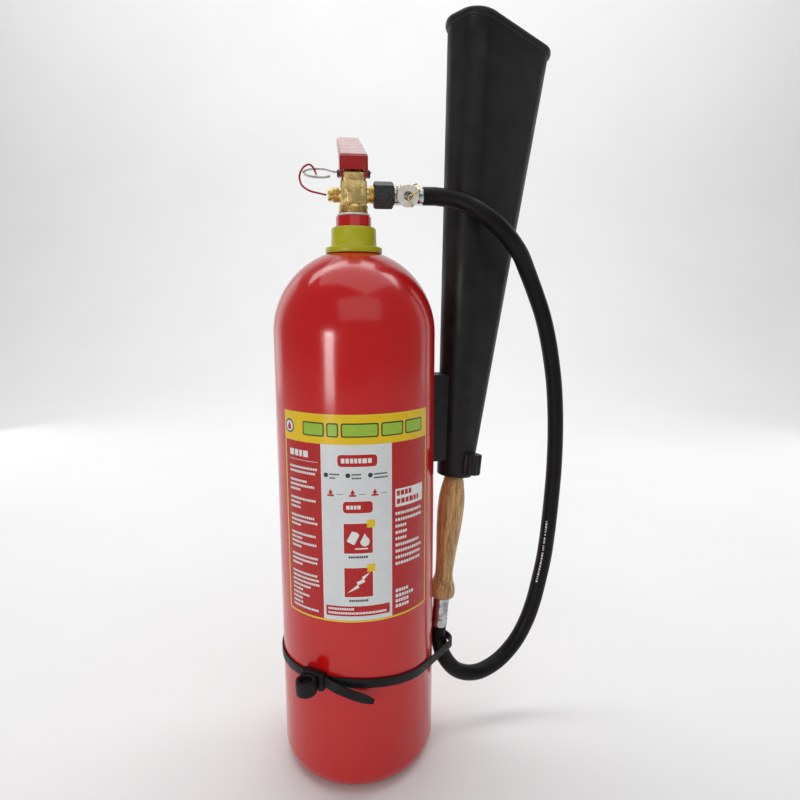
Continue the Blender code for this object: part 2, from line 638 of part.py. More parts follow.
def make_grip(frame):
    bore = TUBE_R + GAP
    outside = [(0.0110, 0.0), (0.0125, 0.0012), (0.0134, 0.0060), (0.0130, 0.0120), (0.0108, 0.0180),
               (0.0094, 0.0240), (0.0096, 0.0360), (0.0108, 0.0520), (0.0124, 0.0700),
               (0.0136, 0.0880), (0.0138, 0.1000), (0.0128, 0.1140), (0.0110, 0.1250),
               (0.0092, 0.1310), (0.0085, GRIP_LENGTH)]
    profile = [(bore, 0.0)] + outside + [(bore, GRIP_LENGTH)]
    solid("wooden_grip", lathe(profile, 24), "turned_wood", parent=frame)
    tube = ring(0.0032, TUBE_R, -LOWER_FERRULE_LENGTH + 0.004, 0.1500)
    solid("handle_tube", lathe(tube, 16), "tube_steel", parent=frame)
    ferrule = [(bore, -LOWER_FERRULE_LENGTH), (LOWER_FERRULE_R, -LOWER_FERRULE_LENGTH),
               (LOWER_FERRULE_R, -0.0225), (LOWER_GROOVE_R, -0.0220), (LOWER_GROOVE_R, -0.0200),
               (LOWER_FERRULE_R, -0.0195), (LOWER_FERRULE_R, -0.0115), (LOWER_GROOVE_R, -0.0110),
               (LOWER_GROOVE_R, -0.0090), (LOWER_FERRULE_R, -0.0085), (LOWER_FERRULE_R, -GAP), (bore, -GAP)]
    solid("lower_ferrule", lathe(ferrule, 20), "ferrule_steel", parent=frame)
    nozzle = [(bore, 0.1370), (0.0078, 0.1370), (0.0078, 0.1560), (0.0060, 0.1640), (0.0030, 0.1660),
              (0.0012, 0.1660), (0.0012, 0.1503), (bore, 0.1503)]
    solid("discharge_nozzle", lathe(nozzle, 16), "gland_brass", parent=frame)


# ---- Dip tube and cable tie ------------------------------------------------------------------

def make_dip_tube():
    solid("dip_tube", lathe(ring(0.0050, 0.0065, 0.012, SOCKET_TOP - 0.0005), 16), "dip_plastic")


def tie_height(x):
    """The tie slopes down from the cylinder's front to the hose."""
    return TIE_Z - 0.06 * x - 1.2 * x * x


def band(path, thick, height, closed):
    """Sweep an upright strip along (point, outward direction) pairs."""
    rings = []
    for point, outward in path:
        flat = outward * thick / 2
        up = Vector((0, 0, height / 2))
        rings.append([point - flat - up, point + flat - up, point + flat + up, point - flat + up])
    return loft(rings, closed)


def tie_path():
    """A belt round the cylinder and the hose: two arcs joined by their outer tangents."""
    around = BODY_R + 0.0004 + TIE_THICK / 2
    toward = atan2(TIE_HOSE.y, TIE_HOSE.x)
    spread = acos((around - TIE_HOSE_R) / TIE_HOSE.length)
    path = []
    for i in range(45):
        angle = toward + spread + (2 * pi - 2 * spread) * i / 44
        out = Vector((cos(angle), sin(angle), 0))
        path.append((out * around, out))
    for i in range(13):
        angle = toward - spread + 2 * spread * i / 12
        out = Vector((cos(angle), sin(angle), 0))
        path.append((TIE_HOSE.to_3d() + out * TIE_HOSE_R, out))
    return [(point + Vector((0, 0, tie_height(point.x))), out) for point, out in path]


def make_cable_tie():
    tie = solid("cable_tie", band(tie_path(), TIE_THICK, TIE_HEIGHT, True), "tie_nylon")
    out = Vector((cos(TIE_HEAD_ANGLE), sin(TIE_HEAD_ANGLE), 0))
    right = Vector((-out.y, out.x, 0))
    seat = out * (BODY_R + 0.0007)
    middle = tie_height(seat.x)
    turn = Matrix((right, out, Vector((0, 0, 1)))).transposed()
    head = box((-0.0120, 0.0, -0.0080), (0.0120, 0.0075, 0.0080))
    lobe = lathe(ring(0.0055, 0.0095, -0.0065, 0.0065), 20, "Z", (0, 0.0152, 0))
    for shape in (head, lobe):
        bmesh.ops.rotate(shape, verts=shape.verts, matrix=turn)
        bmesh.ops.translate(shape, verts=shape.verts, vec=seat + Vector((0, 0, middle)))
    tail_route = [(-0.0260, -0.0762, 0.1185), (-0.0150, -0.0815, 0.1150), (-0.0020, -0.0838, 0.1105),
                  (0.0110, -0.0846, 0.1065), (0.0200, -0.0850, 0.1040)]
    front = Vector((0, -1, 0))
    tail = band([(Vector(point), front) for point in tail_route], TIE_THICK, 0.0088, False)
    combine(tie, solid("add_tie_head", head, None), "UNION")
    combine(tie, solid("add_tie_lobe", lobe, None), "UNION")
    combine(tie, solid("add_tie_tail", tail, None), "UNION")


def main():
    clear_scene()
    make_cylinder()
    make_label()
    make_neck_collar()
    make_neck_gasket()
    make_dip_tube()
    valve = empty("valve_frame", (0, 0, 0), (0, 0, VALVE_TURN))
    make_valve_body(valve)
    make_gland(valve)
    make_spindle(valve)
    make_burst_disc(valve)
    make_carry_handle(valve)
    make_lever(valve)
    make_pins(valve)
    make_outlet(valve)
    make_upper_ferrule(valve)
    make_seal(valve)
    make_hose()
    frame = horn_frame()
    make_grip(frame)
    make_horn(frame)
    make_horn_lug(frame)
    make_horn_holder(frame)
    make_cable_tie()


main()
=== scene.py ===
"""Looks of a portable carbon dioxide fire extinguisher, laid out as a Blender add-on.

Metres, +Z up, the label faces -Y and the hose leaves the valve towards +X.
"""
import random
from math import acos, atan2, cos, hypot, pi, radians, sin, tan

import bmesh
import bpy
from mathutils import Matrix, Vector


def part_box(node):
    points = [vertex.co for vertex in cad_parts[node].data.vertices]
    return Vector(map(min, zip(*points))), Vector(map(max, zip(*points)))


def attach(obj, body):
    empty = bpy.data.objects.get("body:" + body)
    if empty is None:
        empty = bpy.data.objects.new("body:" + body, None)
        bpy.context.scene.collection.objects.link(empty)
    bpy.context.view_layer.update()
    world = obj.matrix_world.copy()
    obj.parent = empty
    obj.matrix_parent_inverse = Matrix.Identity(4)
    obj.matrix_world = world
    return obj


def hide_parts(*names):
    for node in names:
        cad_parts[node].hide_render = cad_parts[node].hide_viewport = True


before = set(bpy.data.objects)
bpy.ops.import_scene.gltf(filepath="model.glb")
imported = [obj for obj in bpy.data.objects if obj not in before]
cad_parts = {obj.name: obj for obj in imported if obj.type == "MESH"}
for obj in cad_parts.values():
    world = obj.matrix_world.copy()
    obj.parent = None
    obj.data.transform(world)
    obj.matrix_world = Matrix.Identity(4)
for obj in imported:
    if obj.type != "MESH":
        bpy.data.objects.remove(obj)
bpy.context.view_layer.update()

bl_info = {
    "name": "Carbon Dioxide Extinguisher",
    "version": (1, 0, 0),
    "blender": (4, 5, 0),
    "location": "View3D > Sidebar > Extinguisher",
    "description": "Builds the visible pieces of a lever-valve extinguisher with hose and horn",
    "category": "Object",
}

# ---- Places: the boxes are read from the frame, the rest repeats its sizes -------------------

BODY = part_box("cylinder")
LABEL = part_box("label")
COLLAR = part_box("neck_collar")
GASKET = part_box("neck_gasket")

BODY_R = BODY[1][0]
NECK_TOP = BODY[1][2]
COLLAR_R = COLLAR[1][0]
VALVE_TURN = radians(7)
VALVE = Matrix.Rotation(VALVE_TURN, 4, "Z")

SHOULDER_Z = 0.430
DOME_H = 0.0775
WALL = 0.005
NECK_R = 0.0162
NECK_BORE = 0.0128
OUTLET_Z = 0.5565
BURST_Z = 0.5557
PIVOT = (-0.0115, 0.5722)
SAFETY = (0.0105, 0.5785)
SHEET = 0.0015

GRIP_FOOT = Vector((0.0871, 0.022, 0.150))
ALONG = Vector((tan(radians(5.43)), tan(radians(4.04)), 1)).normalized()
HORN_TURN = radians(40)
GRIP_LENGTH = 0.132
GRIP_BORE = 0.0048
THROAT = 0.1323
MOUTH = 0.569


def horn_matrix():
    """Axes of the grip and horn: z runs up the horn, x along the long side of its mouth."""
    side = Vector((cos(HORN_TURN), sin(HORN_TURN), 0))
    side = (side - ALONG * side.dot(ALONG)).normalized()
    turn = Matrix((side, ALONG.cross(side), ALONG)).transposed().to_4x4()
    return Matrix.Translation(GRIP_FOOT) @ turn


HORN = horn_matrix()


# ---- Settings --------------------------------------------------------------------------------

def length(name, description, default):
    return bpy.props.FloatProperty(name=name, description=description, default=default,
                                   subtype="DISTANCE", unit="LENGTH", precision=5)


def colour(name, description, default):
    return bpy.props.FloatVectorProperty(name=name, description=description, default=default,
                                         subtype="COLOR", size=3, min=0.0, max=1.0)


class ExtinguisherSizes(bpy.types.PropertyGroup):
    """Sizes of the pieces that are drawn here."""
    base_bend: length("Base corner", "Radius of the cylinder's lower corner", 0.020)
    film: length("Label film", "Thickness of one printed layer of the label", 0.00004)
    sheet_bend: length("Sheet bend", "Outer bend of the lever's folded edges", 0.0026)
    nut_flats: length("Nut across flats", "Union nut, across its flats", 0.0215)
    hose_radius: length("Hose radius", "Outer radius of the rubber hose", 0.00835)
    horn_wall: length("Horn wall", "Wall of the discharge horn", 0.0025)
    lip: length("Horn lip", "How far the horn's lip stands proud", 0.0022)
    tie_height: length("Tie height", "Height of the nylon strap", 0.009)
    tie_thickness: length("Tie thickness", "Thickness of the nylon strap", 0.0015)


class ExtinguisherColours(bpy.types.PropertyGroup):
    """Main colours of the finishes, as linear values."""
    paint: colour("Cylinder paint", "Gloss enamel on the cylinder", (0.56, 0.0060, 0.0065))
    lever: colour("Lever paint", "Enamel on the lever and handle", (0.40, 0.0040, 0.0060))
    collar: colour("Collar", "Plastic ring at the neck", (0.50, 0.48, 0.006))
    brass: colour("Brass", "Machined brass of the valve", (0.80, 0.62, 0.26))
    rubber: colour("Hose rubber", "Black rubber of the hose", (0.0048, 0.0048, 0.0050))
    plastic: colour("Horn plastic", "Black moulded plastic", (0.0100, 0.0100, 0.0100))
    wood: colour("Wood", "Light part of the turned grip", (0.70, 0.40, 0.155))
    header: colour("Label header", "Yellow band and border", (0.80, 0.53, 0.006))
    panel: colour("Label panel", "Pale centre panel", (0.70, 0.72, 0.72))
    columns: colour("Label columns", "Red columns of the label", (0.46, 0.0090, 0.0090))


def sizes():
    return bpy.context.scene.extinguisher_sizes


def colours():
    return bpy.context.scene.extinguisher_colours


# ---- Shader groups ---------------------------------------------------------------------------

def new_group(name, inputs, outputs):
    """A node group with float or colour sockets, and its input and output nodes."""
    group = bpy.data.node_groups.new(name, "ShaderNodeTree")
    for label, kind, default in inputs:
        socket = group.interface.new_socket(label, in_out="INPUT", socket_type=kind)
        socket.default_value = default
    for label, kind in outputs:
        group.interface.new_socket(label, in_out="OUTPUT", socket_type=kind)
    return group, group.nodes.new("NodeGroupInput"), group.nodes.new("NodeGroupOutput")


def noise_node(group, scale_socket, detail, stretch=None):
    """Noise over the object's own coordinates, in metres, stretched along the axes if asked."""
    place = group.nodes.new("ShaderNodeTexCoord")
    noise = group.nodes.new("ShaderNodeTexNoise")
    noise.inputs["Detail"].default_value = detail
    where = place.outputs["Object"]
    if stretch:
        mapping = group.nodes.new("ShaderNodeMapping")
        mapping.inputs["Scale"].default_value = stretch
        group.links.new(where, mapping.inputs["Vector"])
        where = mapping.outputs["Vector"]
    group.links.new(where, noise.inputs["Vector"])
    group.links.new(scale_socket, noise.inputs["Scale"])
    return noise.outputs["Fac"]


def band_node(group, value, low, high):
    """The value spread from 0 at low to 1 at high."""
    spread = group.nodes.new("ShaderNodeMapRange")
    spread.inputs["From Min"].default_value = low
    spread.inputs["From Max"].default_value = high
    group.links.new(value, spread.inputs["Value"])
    return spread.outputs["Result"]


def math_node(group, operation, first, second):
    node = group.nodes.new("ShaderNodeMath")
    node.operation = operation
    for socket, value in zip(node.inputs, (first, second)):
        if isinstance(value, (int, float)):
            socket.default_value = value
        else:
            group.links.new(value, socket)
    return node.outputs["Value"]


def build_tone_group():
    """Two colours mixed in soft patches, for faded, dusty or uneven surfaces."""
    group, start, end = new_group(
        "patchy_tone",
        [("Base", "NodeSocketColor", (0.5, 0.5, 0.5, 1)), ("Patch", "NodeSocketColor", (0.4, 0.4, 0.4, 1)),
         ("Scale", "NodeSocketFloat", 20.0), ("Amount", "NodeSocketFloat", 0.3)],
        [("Color", "NodeSocketColor")])
    fac = band_node(group, noise_node(group, start.outputs["Scale"], 6.0), 0.38, 0.70)
    amount = math_node(group, "MULTIPLY", fac, start.outputs["Amount"])
    mix = group.nodes.new("ShaderNodeMix")
    mix.data_type = "RGBA"
    group.links.new(amount, mix.inputs["Factor"])
    group.links.new(start.outputs["Base"], mix.inputs["A"])
    group.links.new(start.outputs["Patch"], mix.inputs["B"])
    group.links.new(mix.outputs["Result"], end.inputs["Color"])


def build_sheen_group():
    """Roughness that varies from place to place, as handling and dust leave it."""
    group, start, end = new_group(
        "uneven_sheen",
        [("Roughness", "NodeSocketFloat", 0.3), ("Spread", "NodeSocketFloat", 0.1),
         ("Scale", "NodeSocketFloat", 40.0)],
        [("Roughness", "NodeSocketFloat")])
    fac = band_node(group, noise_node(group, start.outputs["Scale"], 5.0), 0.35, 0.65)
    extra = math_node(group, "MULTIPLY", fac, start.outputs["Spread"])
    total = math_node(group, "ADD", extra, start.outputs["Roughness"])
    group.links.new(total, end.inputs["Roughness"])


def build_grain_group():
    """Fine relief: a broad ripple with a small grain on it."""
    group, start, end = new_group(
        "fine_grain",
        [("Scale", "NodeSocketFloat", 900.0), ("Ripple", "NodeSocketFloat", 0.5)],
        [("Height", "NodeSocketFloat")])
    grain = noise_node(group, start.outputs["Scale"], 3.0)
    broad_scale = math_node(group, "MULTIPLY", start.outputs["Scale"], 0.12)
    ripple = math_node(group, "MULTIPLY", noise_node(group, broad_scale, 2.0), start.outputs["Ripple"])
    group.links.new(math_node(group, "ADD", grain, ripple), end.inputs["Height"])


def build_tool_mark_group():
    """Fine lines left by turning or drawing, mostly across the Z axis."""
    group, start, end = new_group(
        "tool_marks",
        [("Scale", "NodeSocketFloat", 400.0), ("Depth", "NodeSocketFloat", 1.0)],
        [("Height", "NodeSocketFloat"), ("Mask", "NodeSocketFloat")])
    lines = noise_node(group, start.outputs["Scale"], 2.0, (0.06, 0.06, 1.6))
    group.links.new(math_node(group, "MULTIPLY", lines, start.outputs["Depth"]), end.inputs["Height"])
    group.links.new(band_node(group, lines, 0.3, 0.7), end.inputs["Mask"])


def build_groups():
    build_tone_group()
    build_sheen_group()
    build_grain_group()
    build_tool_mark_group()


# ---- Finishes --------------------------------------------------------------------------------

class Finish:
    """A material being made: the Principled shader and short ways to feed it."""

    def __init__(self, name, roughness, metallic=0.0, coat=0.0, specular=0.5):
        self.made = bpy.data.materials.new(name + "_finish")
        self.made.use_nodes = True
        self.tree = self.made.node_tree
        self.shader = self.tree.nodes["Principled BSDF"]
        self.shader.inputs["Roughness"].default_value = roughness
        self.shader.inputs["Metallic"].default_value = metallic
        self.shader.inputs["Coat Weight"].default_value = coat
        self.shader.inputs["Coat Roughness"].default_value = 0.06
        self.shader.inputs["Specular IOR Level"].default_value = specular

    def group(self, name, **values):
        node = self.tree.nodes.new("ShaderNodeGroup")
        node.node_tree = bpy.data.node_groups[name]
        for key, value in values.items():
            node.inputs[key.capitalize()].default_value = value
        return node

    def tone(self, base, patch, scale, amount):
        node = self.group("patchy_tone", base=(*base, 1), patch=(*patch, 1), scale=scale, amount=amount)
        self.tree.links.new(node.outputs["Color"], self.shader.inputs["Base Color"])
        return self

    def sheen(self, roughness, spread, scale):
        node = self.group("uneven_sheen", roughness=roughness, spread=spread, scale=scale)
        self.tree.links.new(node.outputs["Roughness"], self.shader.inputs["Roughness"])
        return self

    def relief(self, height, strength, distance):
        bump = self.tree.nodes.new("ShaderNodeBump")
        bump.inputs["Strength"].default_value = strength
        bump.inputs["Distance"].default_value = distance
        self.tree.links.new(height, bump.inputs["Height"])
        self.tree.links.new(bump.outputs["Normal"], self.shader.inputs["Normal"])
        return self

    def grain(self, scale, ripple, strength, distance):
        node = self.group("fine_grain", scale=scale, ripple=ripple)
        return self.relief(node.outputs["Height"], strength, distance)

    def tool_marks(self, scale, depth, strength, distance):
        node = self.group("tool_marks", scale=scale, depth=depth)
        return self.relief(node.outputs["Height"], strength, distance)


def finish_named(name):
    return bpy.data.materials[name + "_finish"]


def shade(tone, factor):
    return tuple(min(1.0, channel * factor) for channel in tone)


def make_enamels():
    """Glossy red paint with a faint orange-peel ripple."""
    tone = colours()
    body = Finish("red_enamel", 0.16, coat=0.15)
    body.tone(tone.paint, shade(tone.paint, 0.80), 7.0, 0.45).sheen(0.14, 0.10, 26.0)
    body.grain(420.0, 2.2, 0.22, 0.00012)
    lever = Finish("lever_enamel", 0.20, coat=0.5)
    lever.tone(tone.lever, shade(tone.lever, 0.6), 60.0, 0.5).sheen(0.16, 0.14, 90.0)
    lever.grain(900.0, 1.2, 0.20, 0.00008)
    handle = Finish("handle_enamel", 0.22, coat=0.4)
    handle.tone(shade(tone.lever, 0.92), shade(tone.lever, 0.5), 70.0, 0.5).sheen(0.18, 0.14, 90.0)
    handle.grain(900.0, 1.2, 0.20, 0.00008)


def make_metals():
    tone = colours()
    brass = Finish("valve_brass", 0.25, 1.0)
    brass.tone(tone.brass, (0.46, 0.27, 0.07), 210.0, 0.65).sheen(0.22, 0.22, 240.0)
    brass.grain(1300.0, 1.6, 0.6, 0.00016)
    turned = Finish("turned_brass", 0.22, 1.0)
    turned.tone(tone.brass, (0.50, 0.30, 0.08), 220.0, 0.45).sheen(0.16, 0.18, 300.0)
    turned.tool_marks(1400.0, 1.0, 0.25, 0.00005)
    bright = Finish("bright_plate", 0.14, 1.0)
    bright.tone((0.60, 0.61, 0.61), (0.20, 0.21, 0.21), 160.0, 0.8).sheen(0.10, 0.14, 180.0)
    bright.tool_marks(900.0, 1.0, 0.20, 0.00004)
    steel = Finish("drawn_steel", 0.28, 1.0)
    steel.tone((0.60, 0.60, 0.61), (0.35, 0.34, 0.33), 200.0, 0.5).sheen(0.22, 0.18, 220.0)
    steel.tool_marks(1200.0, 1.0, 0.25, 0.00004)
    spring = Finish("spring_wire", 0.32, 1.0)
    spring.tone((0.45, 0.45, 0.47), (0.24, 0.22, 0.20), 400.0, 0.5).sheen(0.25, 0.15, 400.0)
    nut = Finish("dark_zinc", 0.40, 0.55)
    nut.tone((0.055, 0.053, 0.055), (0.012, 0.012, 0.013), 620.0, 0.9).sheen(0.22, 0.30, 520.0)
    nut.grain(1900.0, 1.4, 1.0, 0.00030)
    copper = Finish("rolled_copper", 0.30, 1.0)
    copper.tone((0.74, 0.40, 0.26), (0.40, 0.18, 0.10), 300.0, 0.5).sheen(0.24, 0.12, 300.0)


def make_plastics():
    tone = colours()
    collar = Finish("collar_plastic", 0.34, specular=0.5)
    collar.tone(tone.collar, shade(tone.collar, 0.78), 60.0, 0.5).sheen(0.28, 0.14, 70.0)
    collar.grain(1100.0, 1.4, 0.15, 0.00008)
    ptfe = Finish("white_seal", 0.5)
    ptfe.tone((0.80, 0.80, 0.78), (0.58, 0.57, 0.53), 260.0, 0.5).sheen(0.42, 0.16, 200.0)
    horn = Finish("horn_plastic", 0.42, specular=0.25)
    horn.tone(tone.plastic, shade(tone.plastic, 2.0), 55.0, 0.6).sheen(0.36, 0.16, 30.0)
    horn.grain(1900.0, 0.8, 0.38, 0.00014)
    holder = Finish("holder_plastic", 0.5, specular=0.3)
    holder.tone(tone.plastic, shade(tone.plastic, 2.0), 90.0, 0.5).sheen(0.42, 0.14, 80.0)
    holder.grain(1500.0, 0.8, 0.35, 0.00012)
    tie = Finish("tie_nylon", 0.40, specular=0.18)
    tie.tone((0.0070, 0.0068, 0.0070), (0.016, 0.016, 0.017), 110.0, 0.6).sheen(0.32, 0.16, 120.0)
    tie.grain(1600.0, 0.9, 0.25, 0.00008)
    tag = Finish("tag_plastic", 0.45)
    tag.tone((0.74, 0.72, 0.64), (0.50, 0.46, 0.36), 320.0, 0.6).sheen(0.34, 0.2, 260.0)
    tag.grain(1400.0, 1.0, 0.25, 0.00008)
    strap = Finish("strap_plastic", 0.36)
    strap.tone((0.42, 0.008, 0.016), (0.22, 0.004, 0.008), 260.0, 0.6).sheen(0.28, 0.14, 200.0)
    dip = Finish("dip_plastic", 0.48)
    dip.tone((0.72, 0.72, 0.70), (0.56, 0.55, 0.50), 60.0, 0.5).sheen(0.42, 0.12, 60.0)
    hose = Finish("hose_rubber", 0.42, specular=0.16)
    hose.tone(tone.rubber, shade(tone.rubber, 1.9), 70.0, 0.5).sheen(0.34, 0.16, 60.0)
    hose.grain(1700.0, 1.0, 0.30, 0.00010)
    ring = Finish("seal_rubber", 0.6)
    ring.tone((0.020, 0.020, 0.020), (0.050, 0.048, 0.045), 300.0, 0.5).sheen(0.52, 0.14, 200.0)


def make_inks():
    """The label's printed films, all under the same thin clear laminate."""
    tone = colours()
    inks = {
        "ink_header": tone.header, "ink_panel": tone.panel, "ink_columns": tone.columns,
        "ink_border": (0.80, 0.62, 0.03), "ink_white": (0.80, 0.80, 0.79),
        "ink_dark": (0.030, 0.032, 0.036), "ink_green": (0.33, 0.52, 0.05),
        "ink_outline": (0.020, 0.060, 0.018), "ink_blue": (0.020, 0.035, 0.22),
    }
    for name, base in inks.items():
        ink = Finish(name, 0.25, coat=0.10, specular=0.35)
        ink.tone(base, shade(base, 0.90), 40.0, 0.5).sheen(0.20, 0.10, 60.0)
        ink.grain(500.0, 1.8, 0.12, 0.00008)


def make_wood():
    """Turned wood: long grain along the grip, short pores, and a clear lacquer."""
    tone = colours()
    wood = Finish("turned_wood", 0.42, coat=0.12)
    tree = wood.tree
    place = tree.nodes.new("ShaderNodeTexCoord")
    lean = tree.nodes.new("ShaderNodeMapping")
    lean.vector_type = "TEXTURE"
    lean.inputs["Location"].default_value = GRIP_FOOT
    lean.inputs["Rotation"].default_value = HORN.to_euler()
    stretch = tree.nodes.new("ShaderNodeMapping")
    stretch.inputs["Scale"].default_value = (1.0, 1.0, 0.07)
    tree.links.new(place.outputs["Object"], lean.inputs["Vector"])
    tree.links.new(lean.outputs["Vector"], stretch.inputs["Vector"])
    textures = []
    for scale, detail, distortion in ((170.0, 5.0, 1.2), (900.0, 3.0, 0.2), (1700.0, 2.0, 0.0)):
        texture = tree.nodes.new("ShaderNodeTexNoise")
        texture.inputs["Scale"].default_value = scale
        texture.inputs["Detail"].default_value = detail
        texture.inputs["Distortion"].default_value = distortion
        tree.links.new(stretch.outputs["Vector"], texture.inputs["Vector"])
        textures.append(texture.outputs["Fac"])
    broad, streaks, pores = textures
    figure = math_node(tree, "ADD", math_node(tree, "MULTIPLY", broad, 0.55),
                       math_node(tree, "MULTIPLY", streaks, 0.45))
    ramp = tree.nodes.new("ShaderNodeValToRGB")
    ramp.color_ramp.elements[0].position = 0.40
    ramp.color_ramp.elements[0].color = (*shade(tone.wood, 0.42), 1)
    ramp.color_ramp.elements[1].position = 0.56
    ramp.color_ramp.elements[1].color = (*shade(tone.wood, 1.08), 1)
    tree.links.new(figure, ramp.inputs["Fac"])
    pore_mask = band_node(tree, pores, 0.58, 0.66)
    dark = tree.nodes.new("ShaderNodeMix")
    dark.data_type = "RGBA"
    dark.inputs["B"].default_value = (*shade(tone.wood, 0.30), 1)
    tree.links.new(math_node(tree, "MULTIPLY", pore_mask, 0.65), dark.inputs["Factor"])
    tree.links.new(ramp.outputs["Color"], dark.inputs["A"])
    tree.links.new(dark.outputs["Result"], wood.shader.inputs["Base Color"])
    wood.sheen(0.36, 0.16, 90.0)
    wood.relief(math_node(tree, "SUBTRACT", figure, pore_mask), 0.30, 0.00020)


def make_stage_finish():
    floor = Finish("studio_paper", 0.9, specular=0.2)
    floor.tone((0.86, 0.86, 0.86), (0.82, 0.82, 0.82), 3.0, 0.5)


# ---- Mesh helpers ----------------------------------------------------------------------------

def lathe(profile, steps=64, axis="Z", centre=(0, 0, 0)):
    """Spin (radius, height) points. A profile that stays off the axis is closed into a ring."""
    bm = bmesh.new()
    verts = [bm.verts.new((radius, 0, height)) for radius, height in profile]
    edges = [bm.edges.new(pair) for pair in zip(verts, verts[1:])]
    if profile[0][0] > 0 and profile[-1][0] > 0:
        edges.append(bm.edges.new((verts[-1], verts[0])))
    bmesh.ops.spin(bm, geom=verts + edges, cent=(0, 0, 0), axis=(0, 0, 1), angle=2 * pi,
                   steps=steps, use_merge=True)
    if axis == "X":
        bmesh.ops.rotate(bm, verts=bm.verts, matrix=Matrix.Rotation(pi / 2, 3, "Y"))
    if axis == "Y":
        bmesh.ops.rotate(bm, verts=bm.verts, matrix=Matrix.Rotation(-pi / 2, 3, "X"))
    bmesh.ops.translate(bm, verts=bm.verts, vec=Vector(centre))
    return bm


def prism(outline, low, high, axis="X"):
    """Extrude an outline: (y, z) points along X, or (x, y) points along Z."""
    bm = bmesh.new()
    if axis == "X":
        corners = [(low, a, b) for a, b in outline]
        step = Vector((high - low, 0, 0))
    else:
        corners = [(a, b, low) for a, b in outline]
        step = Vector((0, 0, high - low))
    face = bm.faces.new([bm.verts.new(corner) for corner in corners])
    raised = bmesh.ops.extrude_face_region(bm, geom=[face])["geom"]
    bmesh.ops.translate(bm, verts=[v for v in raised if isinstance(v, bmesh.types.BMVert)], vec=step)
    bmesh.ops.recalc_face_normals(bm, faces=bm.faces)
    return bm


def soften(bm, width, segments=3, sharper_than=radians(25), chosen=None):
    """Round the sharp edges of a bmesh."""
    bm.normal_update()
    edges = [e for e in bm.edges if len(e.link_faces) == 2 and e.calc_face_angle(0) > sharper_than]
    if chosen:
        edges = [e for e in edges if chosen(e)]
    bmesh.ops.bevel(bm, geom=edges, offset=width, segments=segments, profile=0.5, affect="EDGES",
                    clamp_overlap=True)
    return bm


def loft(rings, closed):
    """Skin rings of equal point counts. A closed loft joins the last ring to the first."""
    bm = bmesh.new()
    loops = [[bm.verts.new(point) for point in points] for points in rings]
    pairs = list(zip(loops, loops[1:]))
    if closed:
        pairs.append((loops[-1], loops[0]))
    else:
        bm.faces.new(loops[0])
        bm.faces.new(loops[-1])
    for first, second in pairs:
        count = len(first)
        for i in range(count):
            j = (i + 1) % count
            bm.faces.new((first[i], first[j], second[j], second[i]))
    return bm


def join(shapes):
    """Put several bmeshes into one, as shells that stand in each other."""
    whole = bmesh.new()
    for shape in shapes:
        bmesh.ops.recalc_face_normals(shape, faces=shape.faces)
        mesh = bpy.data.meshes.new("part")
        shape.to_mesh(mesh)
        shape.free()
        whole.from_mesh(mesh)
        bpy.data.meshes.remove(mesh)
    return whole


def arc(centre, radius, start, end, steps):
    turns = [start + (end - start) * i / steps for i in range(steps + 1)]
    return [(centre[0] + radius * cos(a), centre[1] + radius * sin(a)) for a in turns]


def rounded(outline, radius, steps=4):
    """An outline with each corner replaced by a small curve."""
    points = []
    count = len(outline)
    for i, corner in enumerate(outline):
        here = Vector(corner)
        before = Vector(outline[i - 1]) - here
        after = Vector(outline[(i + 1) % count]) - here
        reach = min(radius, before.length * 0.45, after.length * 0.45)
        first = here + before.normalized() * reach
        last = here + after.normalized() * reach
        for k in range(steps + 1):
            t = k / steps
            points.append(tuple(first * (1 - t) ** 2 + here * 2 * t * (1 - t) + last * t ** 2))
    return points


def smooth(route, step):
    """Points about one step apart along a Catmull-Rom curve through the route's points."""
    fine = []
    ends = [route[0] * 2 - route[1]] + route + [route[-1] * 2 - route[-2]]
    for a, b, c, d in zip(ends, ends[1:], ends[2:], ends[3:]):
        for i in range(20):
            t = i / 20
            fine.append(0.5 * (2 * b + (c - a) * t + (2 * a - 5 * b + 4 * c - d) * t ** 2
                               + (3 * b - a - 3 * c + d) * t ** 3))
    fine.append(route[-1])
    total = sum((q - p).length for p, q in zip(fine, fine[1:]))
    count = max(2, round(total / step))
    picked = [fine[0]]
    travelled = 0.0
    for p, q in zip(fine, fine[1:]):
        travelled += (q - p).length
        if travelled >= total * len(picked) / count - 1e-6:
            picked.append(q)
    return picked


# ---- Publishing pieces -----------------------------------------------------------------------

def publish(name, bm, finish, body="body", stands_for=(), where=None, sharp=38):
    """Turn a bmesh into a finished piece that rides on a body."""
    bmesh.ops.remove_doubles(bm, verts=bm.verts, dist=1e-7)
    bmesh.ops.recalc_face_normals(bm, faces=bm.faces)
    if where:
        bmesh.ops.transform(bm, matrix=where, verts=bm.verts)
    mesh = bpy.data.meshes.new(name)
    bm.to_mesh(mesh)
    bm.free()
    mesh.shade_smooth()
    mesh.set_sharp_from_angle(angle=radians(sharp))
    return settle(name, mesh, finish, body, stands_for)


def settle(name, data, finish, body, stands_for):
    piece = bpy.data.objects.new(name, data)
    bpy.context.scene.collection.objects.link(piece)
    data.materials.append(finish_named(finish))
    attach(piece, body)
    if stands_for:
        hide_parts(*stands_for)
    return piece


def wire(name, points, radius, finish, body="body", stands_for=(), where=None, sides=4):
    """A round wire or tube along points."""
    curve = bpy.data.curves.new(name, "CURVE")
    curve.dimensions = "3D"
    curve.bevel_depth = radius
    curve.bevel_resolution = sides
    curve.use_fill_caps = True
    spline = curve.splines.new("POLY")
    spline.points.add(len(points) - 1)
    for target, point in zip(spline.points, points):
        spot = where @ Vector(point) if where else Vector(point)
        target.co = (*spot, 1.0)
    spline.use_smooth = True
    return settle(name, curve, finish, body, stands_for)


